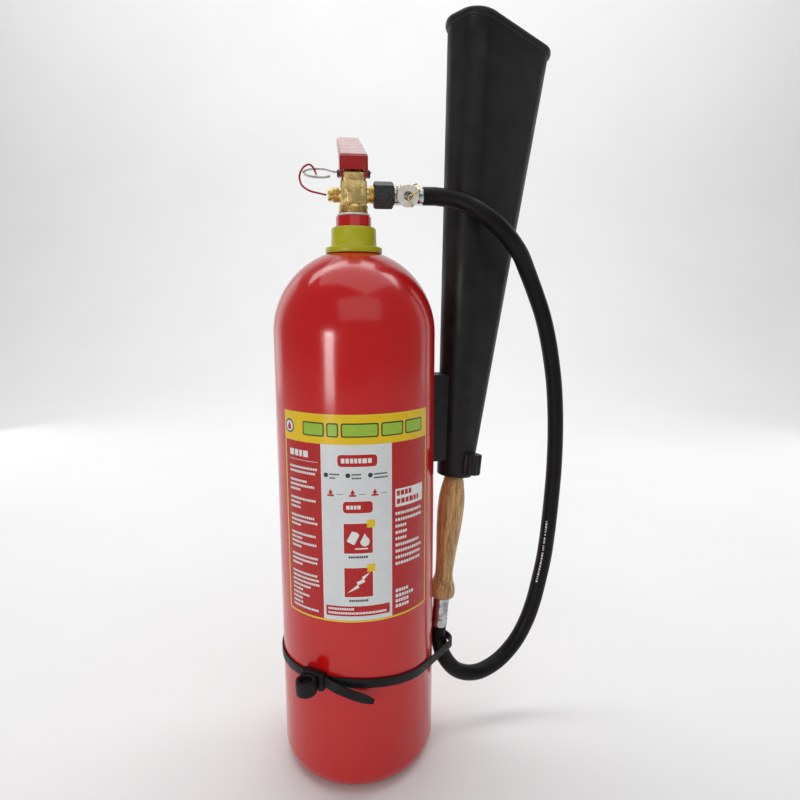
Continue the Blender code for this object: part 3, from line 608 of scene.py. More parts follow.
def carve(target, tool, operation="DIFFERENCE"):
    """Apply a Boolean with a helper mesh, then delete the helper."""
    tool_mesh = bpy.data.meshes.new("tool")
    bmesh.ops.recalc_face_normals(tool, faces=tool.faces)
    tool.to_mesh(tool_mesh)
    tool.free()
    helper = bpy.data.objects.new("tool", tool_mesh)
    base_mesh = bpy.data.meshes.new("base")
    bmesh.ops.recalc_face_normals(target, faces=target.faces)
    target.to_mesh(base_mesh)
    target.free()
    base = bpy.data.objects.new("base", base_mesh)
    for obj in (helper, base):
        bpy.context.scene.collection.objects.link(obj)
    modifier = base.modifiers.new("carve", "BOOLEAN")
    modifier.operation = operation
    modifier.object = helper
    view = bpy.context.evaluated_depsgraph_get()
    result = bmesh.new()
    result.from_mesh(base.evaluated_get(view).to_mesh())
    for obj in (helper, base):
        bpy.data.objects.remove(obj, do_unlink=True)
    return result


def dress(node, finish):
    """Give a frame node a finish of this script."""
    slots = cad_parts[node].material_slots
    if not slots:
        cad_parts[node].data.materials.append(finish_named(finish))
    for entry in slots:
        entry.material = finish_named(finish)


# ---- Cylinder and neck -----------------------------------------------------------------------

def half_outline(radius, dome, bend, floor, neck, steps):
    """The vessel's half outline, from the rim of its base to the foot of its neck."""
    top_angle = acos(neck / radius)
    bottom = arc((radius - bend, floor + bend), bend, -pi / 2, 0, steps)
    wall = [(radius, floor + bend + (SHOULDER_Z - floor - bend) * i / 8) for i in range(1, 8)]
    turns = [top_angle * i / (steps * 2) for i in range(steps * 2 + 1)]
    shoulder = [(radius * cos(turn), SHOULDER_Z + dome * sin(turn)) for turn in turns]
    return bottom + wall + shoulder


def make_cylinder():
    bend = sizes().base_bend
    outer = half_outline(BODY_R, DOME_H, bend, 0.0, NECK_R + 0.0022, 14)
    inner = half_outline(BODY_R - WALL, DOME_H - WALL, bend - WALL, WALL, NECK_BORE, 6)
    fillet = [(NECK_R + 0.0010, SHOULDER_Z + DOME_H - 0.0012), (NECK_R + 0.0002, SHOULDER_Z + DOME_H)]
    neck = [(NECK_R, NECK_TOP - 0.0008), (NECK_R - 0.0003, NECK_TOP - 0.0002), (NECK_R - 0.0008, NECK_TOP),
            (NECK_BORE, NECK_TOP)]
    profile = [(0, 0)] + outer + fillet + neck + list(reversed(inner)) + [(0, WALL)]
    publish("cylinder_shell", lathe(profile, 160), "red_enamel", stands_for=["cylinder"])


def make_neck_ring():
    bore = NECK_R + 0.0005
    low, high = COLLAR[0][2], COLLAR[1][2]
    profile = [(bore, low + 0.0032), (COLLAR_R - 0.0004, low + 0.0002), (COLLAR_R, low + 0.0008),
               (COLLAR_R, low + 0.0046), (COLLAR_R - 0.0003, low + 0.0052), (COLLAR_R - 0.0012, low + 0.0055),
               (COLLAR_R - 0.0020, low + 0.0053), (COLLAR_R - 0.0030, low + 0.0055), (0.0218, low + 0.0062)]
    profile += [(0.0212, low + 0.0072), (0.0208, low + 0.0130), (0.0206, low + 0.0180)]
    profile += arc((0.0182, high - 0.0024), 0.0024, 0, pi / 2, 8)
    profile += [(bore + 0.0003, high), (bore, high - 0.0003)]
    publish("collar_ring", lathe(profile, 96), "collar_plastic", stands_for=["neck_collar"])
    low, high = GASKET[0][2], GASKET[1][2]
    middle, half = (low + high) / 2, (high - low) / 2
    outer = GASKET[1][0] - half
    gasket = [(NECK_BORE, low)] + arc((outer, middle), half, -pi / 2, pi / 2, 8) + [(NECK_BORE, high)]
    publish("seal_ring", lathe(gasket, 64), "white_seal", stands_for=["neck_gasket"])


# ---- Label -----------------------------------------------------------------------------------

LABEL_FROM, LABEL_TO = -52.0, 61.0
PANEL_FROM, PANEL_TO = -19.5, 28.0


def run(degrees):
    """Distance round the wall from the front, for an angle in degrees."""
    return radians(degrees) * BODY_R


def box_shape(left, right, low, high, corner=0.0):
    outline = [(left, low), (right, low), (right, high), (left, high)]
    return rounded(outline, corner) if corner else outline


def disc_shape(x, z, radius, sides=20):
    return arc((x, z), radius, 0, 2 * pi * (sides - 1) / sides, sides - 1)


def wrap(name, shapes, finish, layer, stands_for=()):
    """Lay flat shapes round the wall, as one thin film a layer's height off it."""
    bm = bmesh.new()
    for outline in shapes:
        bm.faces.new([bm.verts.new((x, 0, z)) for x, z in outline])
    reach = run(LABEL_TO - LABEL_FROM)
    cuts = 84
    for i in range(1, cuts):
        across = run(LABEL_FROM) + reach * i / cuts
        everything = bm.verts[:] + bm.edges[:] + bm.faces[:]
        bmesh.ops.bisect_plane(bm, geom=everything, plane_co=(across, 0, 0), plane_no=(1, 0, 0))
    film = sizes().film
    offset = BODY_R + 0.00008 + layer * film * 1.4
    for vert in bm.verts:
        angle = vert.co.x / BODY_R
        vert.co = Vector((offset * sin(angle), -offset * cos(angle), vert.co.z))
    raised = bmesh.ops.extrude_face_region(bm, geom=bm.faces[:])["geom"]
    grow = (offset + film) / offset
    for vert in [v for v in raised if isinstance(v, bmesh.types.BMVert)]:
        vert.co = Vector((vert.co.x * grow, vert.co.y * grow, vert.co.z))
    return publish(name, bm, finish, stands_for=stands_for)


def text_rows(left, right, top, bottom, rows, height, gaps, seed):
    """Rows of small plain bars that stand in for small print."""
    chance = random.Random(seed)
    bars = []
    for i in range(rows):
        if i in gaps:
            continue
        z = top - (top - bottom) * i / (rows - 1)
        limit = right - (right - left) * chance.choice((0, 0, 0.05, 0.3, 0.55))
        x = left
        while x < limit - height:
            width = height * chance.uniform(0.55, 1.0)
            bars.append(box_shape(x, x + width, z - height / 2, z + height / 2))
            x += width + height * 0.22
    return bars


def flame_shape(x, z, size):
    """A plain drop-shaped flame."""
    outline = [(0, 0.52), (0.10, 0.28), (0.28, 0.10), (0.34, -0.14), (0.24, -0.38), (0, -0.48),
               (-0.24, -0.38), (-0.34, -0.14), (-0.22, 0.06), (-0.14, 0.22)]
    return rounded([(x + size * a, z + size * b) for a, b in outline], size * 0.06, 3)


def can_shape(x, z, size, turn):
    """A tilted can with rounded corners."""
    corners = [(-0.24, -0.34), (0.24, -0.34), (0.24, 0.30), (0.10, 0.40), (-0.24, 0.34)]
    return rounded([(x + size * (a * cos(turn) - b * sin(turn)), z + size * (a * sin(turn) + b * cos(turn)))
                    for a, b in corners], size * 0.06, 3)


def bolt_shape(x, z, size):
    """A zigzag spark from upper right to lower left."""
    outline = [(0.44, 0.40), (0.12, 0.22), (0.16, 0.14), (-0.08, 0.02), (-0.04, -0.08), (-0.44, -0.42),
               (0.02, -0.20), (-0.02, -0.10), (0.24, 0.02), (0.20, 0.12)]
    return [(x + size * a, z + size * b) for a, b in outline]


def make_label_ground():
    """Yellow border and header, red columns and pale centre panel."""
    low, high = LABEL[0][2], LABEL[1][2]
    left, right = run(LABEL_FROM), run(LABEL_TO)
    edge = 0.0016
    header = 0.0260
    wrap("label_border", [box_shape(left, right, low, high, 0.002)], "ink_border", 0,
         stands_for=["label"])
    wrap("label_columns", [box_shape(left + edge, right - edge, low + edge, high - edge)],
         "ink_columns", 1)
    wrap("label_header", [box_shape(left + edge, right - edge, high - header, high - edge)],
         "ink_header", 2)
    panel = box_shape(run(PANEL_FROM), run(PANEL_TO), low + edge * 1.2, high - header)
    line = 0.0008
    inner = box_shape(run(PANEL_FROM) + line, run(PANEL_TO) - line, low + edge * 1.2 + line, high - header)
    wrap("label_panel_edge", [panel], "ink_white", 2)
    wrap("label_panel", [inner], "ink_panel", 3)


def make_label_print():
    """Plain bars, discs and simple signs: no lettering."""
    title_z = LABEL[1][2] - 0.0135
    outer_half, inner_half, rim, line = 0.0062, 0.0050, 0.0012, 0.0009
    outer_tiles, inner_tiles = [], []
    start = run(-33)
    for i, width in enumerate((0.0215, 0.0105, 0.0325, 0.0215, 0.0215)):
        end = start + width
        outer_tiles.append(box_shape(start, end, title_z - outer_half, title_z + outer_half, 0.0022))
        inner_tiles.append(box_shape(start + rim, end - rim, title_z - inner_half, title_z + inner_half,
                                     0.0014))
        start = end + 0.0022
    wrap("label_title_outline", outer_tiles, "ink_outline", 3)
    wrap("label_title", inner_tiles, "ink_green", 4)
    badge = run(-46)
    wrap("label_badge", [disc_shape(badge, title_z, 0.0062, 28)], "ink_blue", 3)
    wrap("label_badge_face", [disc_shape(badge, title_z, 0.0048, 28)], "ink_white", 4)
    centre = run((PANEL_FROM + PANEL_TO) / 2 + 0.6)
    reds, whites, darks, yellows = [], [], [], []
    reds.append(flame_shape(badge, title_z, 0.0078))
    for z, half in ((0.3250, 0.0172), (0.2835, 0.0130)):
        whites.append(box_shape(centre - half - line, centre + half + line, z - 0.0062, z + 0.0062,
                                0.0042))
        reds.append(box_shape(centre - half, centre + half, z - 0.0053, z + 0.0053, 0.0036))
    left, right = run(PANEL_FROM) + 0.0025, run(PANEL_TO) - 0.0025
    for i in range(3):
        x = left + 0.0022 + (right - left) * i / 3
        darks.append(disc_shape(x, 0.3120, 0.0021))
        darks += text_rows(x + 0.0032, x + 0.0165, 0.3128, 0.3095, 2, 0.0014, (), 11 + i)
        reds.append(box_shape(x + 0.0008, x + 0.0070, 0.2932, 0.2948, 0.0006))
        reds.append(flame_shape(x + 0.0038, 0.2972, 0.0050))
        darks.append(box_shape(x + 0.0095, x + 0.0150, 0.2950, 0.2954))
    for z in (0.2550, 0.2140):
        side = 0.0135
        whites.append(box_shape(centre - side, centre + side, z - 0.0146, z + 0.0146))
        reds.append(box_shape(centre - side + line, centre + side - line, z - 0.0137, z + 0.0137))
        yellows.append(box_shape(centre + side - 0.0058, centre + side + 0.0012, z + 0.0098, z + 0.0168))
        darks += text_rows(centre - 0.0085, centre + 0.0085, z - 0.0172, z - 0.0190, 2, 0.0019, (1,), 31)
    reds.append(box_shape(left, right, 0.1820, 0.1915, 0.0008))
    pale = [can_shape(centre - 0.0045, 0.2555, 0.0155, radians(-28)),
            flame_shape(centre + 0.0058, 0.2535, 0.0125),
            box_shape(centre - 0.0030, centre + 0.0085, 0.2450, 0.2462, 0.0005),
            bolt_shape(centre, 0.2140, 0.0235)]
    pale += text_rows(left + 0.002, right - 0.002, 0.1888, 0.1848, 2, 0.0020, (), 5)
    pale += text_rows(centre - 0.0140, centre + 0.0150, 0.3250, 0.3200, 2, 0.0042, (1,), 8)
    pale += text_rows(centre - 0.0100, centre + 0.0115, 0.2835, 0.2800, 2, 0.0034, (1,), 9)
    wrap("label_marks_white", whites, "ink_white", 4)
    wrap("label_marks_red", reds, "ink_columns", 5)
    wrap("label_marks_dark", darks, "ink_dark", 4)
    wrap("label_marks_yellow", yellows, "ink_header", 6)
    pale += text_rows(run(LABEL_FROM) + 0.0075, run(PANEL_FROM) - 0.0035, 0.3155, 0.1835, 33, 0.0021,
                      (2, 6, 10, 14, 19, 23), 3)
    pale += text_rows(run(PANEL_TO) + 0.0035, run(LABEL_TO) - 0.0075, 0.2740, 0.2270, 9, 0.0027, (), 4)
    pale += text_rows(run(PANEL_TO) + 0.0035, run(LABEL_TO) - 0.0060, 0.2010, 0.1860, 4, 0.0030, (), 6)
    boxes = [box_shape(run(LABEL_FROM) + 0.0070, run(PANEL_FROM) - 0.0030, 0.3220, 0.3224),
             box_shape(run(PANEL_TO) + 0.0035, run(LABEL_TO) - 0.0070, 0.2800, 0.2965)]
    pale += text_rows(run(LABEL_FROM) + 0.0080, run(PANEL_FROM) - 0.0060, 0.3285, 0.3235, 2, 0.0058, (1,), 7)
    wrap("label_small_print", pale, "ink_white", 6)
    wrap("label_boxes", boxes, "ink_white", 3)
    rows = text_rows(run(PANEL_TO) + 0.0050, run(LABEL_TO) - 0.0090, 0.2925, 0.2850, 2, 0.0046, (), 12)
    wrap("label_box_print", rows, "ink_columns", 4)


# ---- Valve -----------------------------------------------------------------------------------

def threads(radius, low, high, pitch, depth):
    """Profile points of ridges from low to high."""
    points = []
    count = max(1, round((high - low) / pitch))
    for i in range(count):
        start = low + (high - low) * i / count
        end = low + (high - low) * (i + 1) / count
        points += [(radius - depth, start), (radius, start + (end - start) * 0.35),
                   (radius, start + (end - start) * 0.6)]
    points.append((radius - depth, high))
    return points


def make_valve_casting():
    half, low, top = 0.0118, 0.545, 0.5675
    block = soften(prism([(-half, -half), (half, -half), (half, half), (-half, half)], low, top, "Z"),
                   0.0014, 4)
    raised = ((0.0092, 0.0008, 0.5474, 0.5594), (0.0060, 0.0016, 0.5480, 0.5672),
              (0.0074, 0.0020, 0.5648, 0.5664))
    panels = [soften(prism([(-wide, -half - proud), (wide, -half - proud), (wide, -half + 0.001),
                            (-wide, -half + 0.001)], bottom, height, "Z"), 0.0003, 2)
              for wide, proud, bottom, height in raised]
    skirt = [(0, 0.5400), (0.0112, 0.5400)] + threads(0.0135, 0.5396, 0.5434, 0.0013, 0.0007)
    skirt += [(0.0136, 0.5440), (0.0136, 0.5446), (0.0130, 0.5462), (0.0122, 0.5474), (0, 0.5476)]
    tail = [(0, 0.5075), (0.0119, 0.5075)] + threads(0.0125, 0.508, 0.5385, 0.0018, 0.0007)
    tail += [(0.0119, 0.5396), (0, 0.5396)]
    burst = [(0.0045, -0.0145), (0.0045, -0.0188), (0.0060, -0.0188), (0.0066, -0.0183)]
    burst += [(r, -h) for r, h in reversed(threads(0.0068, 0.0128, 0.0180, 0.0009, 0.0005))]
    burst += [(0.0064, -0.0122), (0.0068, -0.0116), (0.0068, -0.0080), (0.0045, -0.0080)]
    outlet = [(0.0040, 0.0060), (0.0078, 0.0060), (0.0078, 0.0140), (0.0072, 0.0146)]
    outlet += threads(0.0078, 0.0150, 0.0262, 0.0012, 0.0006) + [(0.0068, 0.0270), (0.0040, 0.0270)]
    lug = [(-0.0082, 0.560), (-0.0112, 0.560), (-0.0150, 0.5665), (-0.0150, 0.5735),
           (-0.0132, 0.5762), (-0.0102, 0.5762), (-0.0082, 0.5745)]
    lug_shape = soften(prism(rounded(lug, 0.0010), -0.009, 0.009), 0.0004, 2)
    shapes = panels + [block, lathe(skirt, 72), lathe(tail, 48),
              lathe(burst, 48, "X", (0, 0, BURST_Z)), lathe(outlet, 56, "X", (0, 0, OUTLET_Z)), lug_shape]
    publish("valve_casting", join(shapes), "valve_brass", stands_for=["valve_body"],
            where=VALVE)


def make_valve_fittings():
    """Gland nut, spindle and the bursting-disc cap."""
    nut = [(0.0033, 0.5660), (0.0061, 0.5660), (0.0061, 0.5679), (0.0071, 0.5679), (0.0075, 0.5683),
           (0.0075, 0.5722), (0.0070, 0.5726), (0.0070, 0.5732), (0.0075, 0.5736), (0.0075, 0.5783),
           (0.0070, 0.5789), (0.0036, 0.5790), (0.0033, 0.5787)]
    publish("gland_cap", lathe(nut, 48), "turned_brass", stands_for=["gland_nut"],
            where=VALVE)
    stem = [(0, 0.5520), (0.0018, 0.5520), (0.0020, 0.5522), (0.0020, 0.5600), (0.0053, 0.5600),
            (0.0055, 0.5602), (0.0055, 0.5628), (0.0053, 0.5630), (0.0030, 0.5630), (0.0030, 0.5897)]
    stem += [(0.0030 * cos(a * pi / 12), 0.5898 + 0.0018 * sin(a * pi / 12)) for a in range(1, 6)]
    stem += [(0, 0.5916)]
    publish("spindle_stem", lathe(stem, 32), "drawn_steel", "spindle", ["valve_spindle"],
            VALVE)
    cap = [(0.0015, -0.0235), (0.0048, -0.0235), (0.0056, -0.0231), (0.0058, -0.0226), (0.0058, -0.0213),
           (0.0052, -0.0210), (0.0052, -0.0206), (0.0058, -0.0203), (0.0058, -0.0194), (0.0056, -0.0192),
           (0.0041, -0.0192), (0.0041, -0.0156), (0.0015, -0.0156)]
    publish("burst_cap", lathe(cap, 40, "X", (0, 0, BURST_Z)), "turned_brass",
            stands_for=["burst_disc_nut"], where=VALVE)


# ---- Lever, handle, pins ---------------------------------------------------------------------

LEVER_SLOPE = radians(20)
LEVER_HALF, HANDLE_HALF = 0.0128, 0.0108
PLAN_LOW, PLAN_HIGH = 0.5, 0.7


def lever_top(y, drop=0.0):
    return 0.5885 + (y + 0.0165) * tan(LEVER_SLOPE) - drop


def plan_outline(half, front, tip, front_bend, tip_bend):
    """Plan of a pressed channel with round corners, as (x, y) points."""
    points = arc((half - front_bend, front + front_bend), front_bend, -pi / 2, 0, 6)
    points += arc((half - tip_bend, tip - tip_bend), tip_bend, 0, pi / 2, 8)
    points += arc((-half + tip_bend, tip - tip_bend), tip_bend, pi / 2, pi, 8)
    points += arc((-half + front_bend, front + front_bend), front_bend, pi, 1.5 * pi, 6)
    return points


def channel(outline, inside, half, front, tip, bend, tip_bend, folded):
    """A pressed sheet channel: a bevelled outer form with a smaller one taken out of it."""
    plan = plan_outline(half, front, tip, bend, tip_bend)
    outer = soften(prism(outline, -half, half), bend, 4, radians(20), folded)
    outer = carve(outer, prism(plan, PLAN_LOW, PLAN_HIGH, "Z"), "INTERSECT")
    inner = soften(prism(inside, -half + SHEET, half - SHEET), bend - SHEET, 3, radians(20), folded)
    inner_plan = plan_outline(half - SHEET, front + SHEET, tip - SHEET, bend - SHEET, tip_bend - SHEET)
    inner = carve(inner, prism(inner_plan, PLAN_LOW, PLAN_HIGH, "Z"), "INTERSECT")
    return carve(outer, inner)


def make_lever():
    """The outer lever, folded down at its front and sides."""
    front, tip, bend = -0.018, 0.115, sizes().sheet_bend
    outline = [
        (front, 0.5750), (front, 0.5862), (-0.0165, 0.5885), (tip, lever_top(tip)), (tip, 0.6322),
        (0.0200, 0.5935), (0.0155, 0.5830), (0.0145, 0.5747), (0.0060, 0.5727), (-0.0020, 0.5702),
        (-0.0115, 0.5690), (-0.0135, 0.5696), (-0.0147, 0.5750),
    ]
    drop = SHEET / cos(LEVER_SLOPE)
    inside = [(front + SHEET, 0.55), (front + SHEET, 0.5855),
              (front + SHEET + 0.001, lever_top(-0.0155, drop)),
              (tip - SHEET, lever_top(tip - SHEET, drop)), (tip - SHEET, 0.55)]

    def folded(edge):
        """The long edges where the sheet turns from its top or front into its sides."""
        ends = [v.co for v in edge.verts]
        flat = abs(ends[0].x - ends[1].x) < 1e-6
        return flat and all(c.z > lever_top(c.y) - 0.0023 or c.y < front + 0.0021 for c in ends)

    shape = channel(outline, inside, LEVER_HALF, front, tip, bend, 0.006, folded)
    pivot = lathe([(0, -0.02), (0.0023, -0.02), (0.0023, 0.02), (0, 0.02)], 24, "X", (0, *PIVOT))
    shape = carve(shape, pivot)
    shape = carve(shape, safety_slot())
    for side in (-1, 1):
        shape = carve(shape, front_corner(side, front, 0.0032))
    publish("press_lever", shape, "lever_enamel", "lever", ["operating_lever"], VALVE, 30)


def front_corner(side, front, radius):
    """The bit that is cut away to round a lower corner of the lever's front plate."""
    reach, low = LEVER_HALF, 0.5750
    outline = [(side * (reach + 0.001), low - 0.001), (side * (reach - radius), low - 0.001)]
    outline += [(side * (reach - radius + radius * sin(a * pi / 12)),
                 low + radius - radius * cos(a * pi / 12)) for a in range(7)]
    outline.append((side * (reach + 0.001), low + radius))
    bm = prism(outline, -0.0160, front - 0.001, "Z")
    bmesh.ops.transform(bm, matrix=Matrix(((1, 0, 0, 0), (0, 0, 1, 0), (0, 1, 0, 0), (0, 0, 0, 1))),
                        verts=bm.verts)
    return bm


def safety_slot():
    """The curved slot that lets the lever pass its safety pin, an arc about the pivot."""
    reach = hypot(SAFETY[0] - PIVOT[0], SAFETY[1] - PIVOT[1])
    start = atan2(SAFETY[1] - PIVOT[1], SAFETY[0] - PIVOT[0])
    half, press = 0.0016, radians(12)
    ends = [(PIVOT[0] + reach * cos(a), PIVOT[1] + reach * sin(a)) for a in (start, start + press)]
    outline = arc(ends[0], half, start - pi, start, 8)
    outline += arc(PIVOT, reach + half, start, start + press, 4)[1:]
    outline += arc(ends[1], half, start + press, start + press + pi, 8)[1:]
    outline += arc(PIVOT, reach - half, start + press, start, 4)[1:-1]
    return prism(outline, -0.02, 0.02)


def make_carry_handle():
    """The fixed handle: two ears on the valve and a channel that opens upwards behind it."""
    half = HANDLE_HALF
    outline = [
        (-0.0155, 0.5682), (-0.0155, 0.5722), (-0.0126, 0.5830), (0.0120, 0.5830), (0.0155, 0.5760),
        (0.1120, 0.5552), (0.1120, 0.5466), (0.0135, 0.5682),
    ]
    inside = [
        (-0.03, 0.555), (0.0135, 0.555), (0.0135, 0.5697), (0.1105, 0.5483), (0.1105, 0.60),
        (-0.03, 0.60),
    ]

    def underside(edge):
        ends = [v.co for v in edge.verts]
        flat = abs(ends[0].x - ends[1].x) < 1e-6
        return flat and all(c.y > 0.013 and c.z < 0.5700 - (c.y - 0.0135) * 0.2190 for c in ends)

    outer = soften(prism(rounded(outline, 0.0016), -half, half), 0.0024, 4, radians(20), underside)
    plan = plan_outline(half, -0.0157, 0.1120, 0.0002, 0.006)
    outer = carve(outer, prism(plan, PLAN_LOW, PLAN_HIGH, "Z"), "INTERSECT")
    inner = soften(prism(inside, -half + SHEET, half - SHEET), 0.0009, 3, radians(20), underside)
    shape = carve(outer, inner)
    for spot, radius in ((PIVOT, 0.0023), (SAFETY, 0.0016)):
        hole = lathe([(0, -0.02), (radius, -0.02), (radius, 0.02), (0, 0.02)], 24, "X", (0, *spot))
        shape = carve(shape, hole)
    publish("carry_channel", shape, "handle_enamel", stands_for=["carry_handle"],
            where=VALVE, sharp=30)


def make_pins():
    head, shank, inner, outer = 0.0036, 0.0020, 0.0131, 0.0149
    half = [(shank, inner), (head - 0.0004, inner), (head, inner + 0.0003), (head, outer - 0.0008),
            (head - 0.0006, outer - 0.0002), (head - 0.0016, outer)]
    profile = [(0, -outer)] + [(r, -x) for r, x in reversed(half)] + half + [(0, outer)]
    publish("pivot_rivet", lathe(profile, 40, "X", (0, *PIVOT)), "dark_zinc",
            stands_for=["pivot_pin"], where=VALVE)
    loop = [(0.0175, 0), (0.0, 0), (-0.0150, 0), (-0.0175, 0.0001), (-0.0215, 0.0010), (-0.0250, 0.0018),
            (-0.0310, 0.0022), (-0.0360, 0.0020), (-0.0425, 0.0008), (-0.0450, -0.0015), (-0.0425, -0.0038),
            (-0.0360, -0.0050), (-0.0310, -0.0052), (-0.0250, -0.0050), (-0.0208, -0.0040)]
    route = smooth([Vector((x, SAFETY[0], SAFETY[1] + z)) for x, z in loop], 0.0008)
    wire("safety_pin_wire", route, 0.0012, "drawn_steel", "pin", ["safety_pin"], VALVE)
    strap = [(-0.0335, 0.0160, 0.5768), (-0.0340, 0.0105, 0.5768), (-0.0348, 0.0060, 0.5780),
             (-0.0372, 0.0030, 0.5812), (-0.0402, 0.0010, 0.5820), (-0.0447, -0.0010, 0.5790),
             (-0.0478, -0.0020, 0.5735), (-0.0482, -0.0025, 0.5685), (-0.0461, -0.0020, 0.5630),
             (-0.0398, -0.0010, 0.5590), (-0.0322, 0.0, 0.5573), (-0.0245, 0.0, 0.5557)]
    route = smooth([Vector(point) for point in strap], 0.0008)
    wire("seal_band", route, 0.0009, "strap_plastic", "pin", ["seal_strap"], VALVE)


# ---- Outlet, ferrule and seal ----------------------------------------------------------------

def make_union_nut():
    corner = sizes().nut_flats / 2 / cos(pi / 6)
    turn = radians(27)
    hexagon = arc((0, OUTLET_Z), corner, turn, turn + 2 * pi * 5 / 6, 5)
    start, end = 0.0186, 0.0365
    body = prism(hexagon, start, end)
    chamfer = [(0, start), (corner - 0.0016, start), (corner + 0.0004, start + 0.0016),
               (corner + 0.0004, end - 0.0016), (corner - 0.0016, end), (0, end)]
    body = carve(body, lathe(chamfer, 72, "X", (0, 0, OUTLET_Z)), "INTERSECT")
    bore = [(0, start - 0.001), (0.0082, start - 0.001), (0.0082, 0.0320), (0.0062, 0.0320),
            (0.0062, end + 0.001), (0, end + 0.001)]
    body = carve(body, lathe(bore, 48, "X", (0, 0, OUTLET_Z)))
    piece = publish("hex_union", body, "dark_zinc", "nut", ["union_nut"], VALVE, 20)
    edge = piece.modifiers.new("edges", "BEVEL")
    edge.width = 0.0004
    edge.segments = 3
    edge.limit_method = "ANGLE"
    edge.angle_limit = radians(30)


def make_upper_ferrule():
    bore, outer = 0.0061, 0.0085
    profile = [(bore, 0.0372), (0.0084, 0.0372), (0.0088, 0.0375), (0.0088, 0.0390), (outer, 0.0395)]
    for groove in (0.0455, 0.0515, 0.0575):
        profile += [(outer, groove - 0.0004), (outer - 0.0003, groove + 0.0003),
                    (outer - 0.0005, groove + 0.0012), (outer - 0.0003, groove + 0.0022),
                    (outer, groove + 0.0029)]
    profile += [(outer, 0.0636), (outer - 0.0003, 0.0643), (outer - 0.0009, 0.0645), (bore, 0.0645)]
    publish("hose_ferrule", lathe(profile, 64, "X", (0, 0, OUTLET_Z)), "bright_plate",
            stands_for=["upper_ferrule"], where=VALVE)


def make_seal():
    """The flat plastic ring and the wire that is wound round the ferrule and through it."""
    outline = rounded([(0.00425, -0.0010), (0.0100, -0.0010), (0.0100, 0.0010), (0.00425, 0.0010)], 0.0008, 4)
    publish("seal_disc", lathe(outline, 56, "Y", (0.0493, -0.0120, 0.5542)), "tag_plastic",
            stands_for=["seal_washer"], where=VALVE)
    coil_r, count = 0.0094, 48
    points = []
    for i in range(count + 1):
        angle = radians(-30 + 470 * i / count)
        points.append(Vector((0.0398 + 0.0160 * i / count, -coil_r * cos(angle),
                              OUTLET_Z + coil_r * sin(angle))))
    tail = [(0.0578, -0.0052, 0.5662), (0.0594, -0.0100, 0.5640), (0.0592, -0.0134, 0.5600),
            (0.0556, -0.0146, 0.5566), (0.0510, -0.0132, 0.5548), (0.0494, -0.0116, 0.5536),
            (0.0494, -0.0126, 0.5518), (0.0504, -0.0146, 0.5484), (0.0530, -0.0144, 0.5440)]
    route = smooth(points + [Vector(point) for point in tail], 0.0008)
    wire("seal_winding", route, 0.0007, "turned_brass", stands_for=["seal_wire"],
         where=VALVE)


# ---- Hose ------------------------------------------------------------------------------------

def hose_route():
    """The hose leaves the ferrule, passes in front of the horn and comes up under the grip."""
    turn = VALVE.to_3x3()
    start = turn @ Vector((0.0648, 0, OUTLET_Z))
    first = turn @ Vector((0.0765, 0, OUTLET_Z))
    end = GRIP_FOOT - ALONG * 0.0323
    last = end - ALONG * 0.010
    # Most of these points came out of a curve fit. They are to be replaced by a hand-set list.
    between = [
        (0.0961, 0.0067, 0.5529), (0.1190, 0.0025, 0.5410), (0.1405, 0.0074, 0.5245),
        (0.1584, 0.0219, 0.5068), (0.1692, 0.0345, 0.4900), (0.1799, 0.0438, 0.4695),
        (0.1897, 0.0491, 0.4467), (0.1972, 0.0535, 0.4230), (0.2030, 0.0574, 0.3987),
        (0.2075, 0.0600, 0.3740), (0.2104, 0.0620, 0.3489), (0.2122, 0.0637, 0.3238),
        (0.2131, 0.0652, 0.2986), (0.2131, 0.0662, 0.2733), (0.2122, 0.0668, 0.2481),
        (0.2108, 0.0671, 0.2228), (0.2089, 0.0670, 0.1976), (0.2060, 0.0665, 0.1725),
        (0.2013, 0.0653, 0.1477), (0.1956, 0.0631, 0.1236), (0.1870, 0.0600, 0.0990),
        (0.1728, 0.0546, 0.0755), (0.1520, 0.0460, 0.0580), (0.1280, 0.0362, 0.0515),
        (0.1050, 0.0270, 0.0605), (0.0896, 0.0211, 0.0825),
    ]
    return [start, first] + [Vector(point) for point in between] + [last, end]


def make_hose():
    route = hose_route()
    points = [route[0]] + smooth(route[1:-1], 0.005) + [route[-1]]
    radius = sizes().hose_radius
    hose = wire("hose", points, radius, "hose_rubber", stands_for=["discharge_hose"],
                sides=10)
    hose_marks(points, radius)


def hose_marks(points, radius):
    """A line of pale dashes printed on the hose."""
    chance = random.Random(21)
    fine = smooth(points, 0.0012)
    bm = bmesh.new()
    print_from, print_to = 0.585, 0.69
    index = round(len(fine) * print_from)
    stop = round(len(fine) * print_to)
    while index < stop:
        span = chance.choice((1, 1, 2))
        rows = []
        for i in range(index, index + span + 1):
            forward = (fine[i + 1] - fine[i - 1]).normalized()
            out = Vector((-0.62, -1.0, 0.0))
            out = (out - forward * out.dot(forward)).normalized()
            side = forward.cross(out)
            rows.append([bm.verts.new(fine[i] + (out * cos(a) + side * sin(a)) * (radius + 0.00003))
                         for a in (-0.10, -0.03, 0.04, 0.11)])
        for lower, upper in zip(rows, rows[1:]):
            for i in range(3):
                bm.faces.new((lower[i], lower[i + 1], upper[i + 1], upper[i]))
        index += span + chance.choice((1, 1, 2))
    return publish("hose_marks", bm, "ink_white")


# ---- Grip, horn and holder -------------------------------------------------------------------

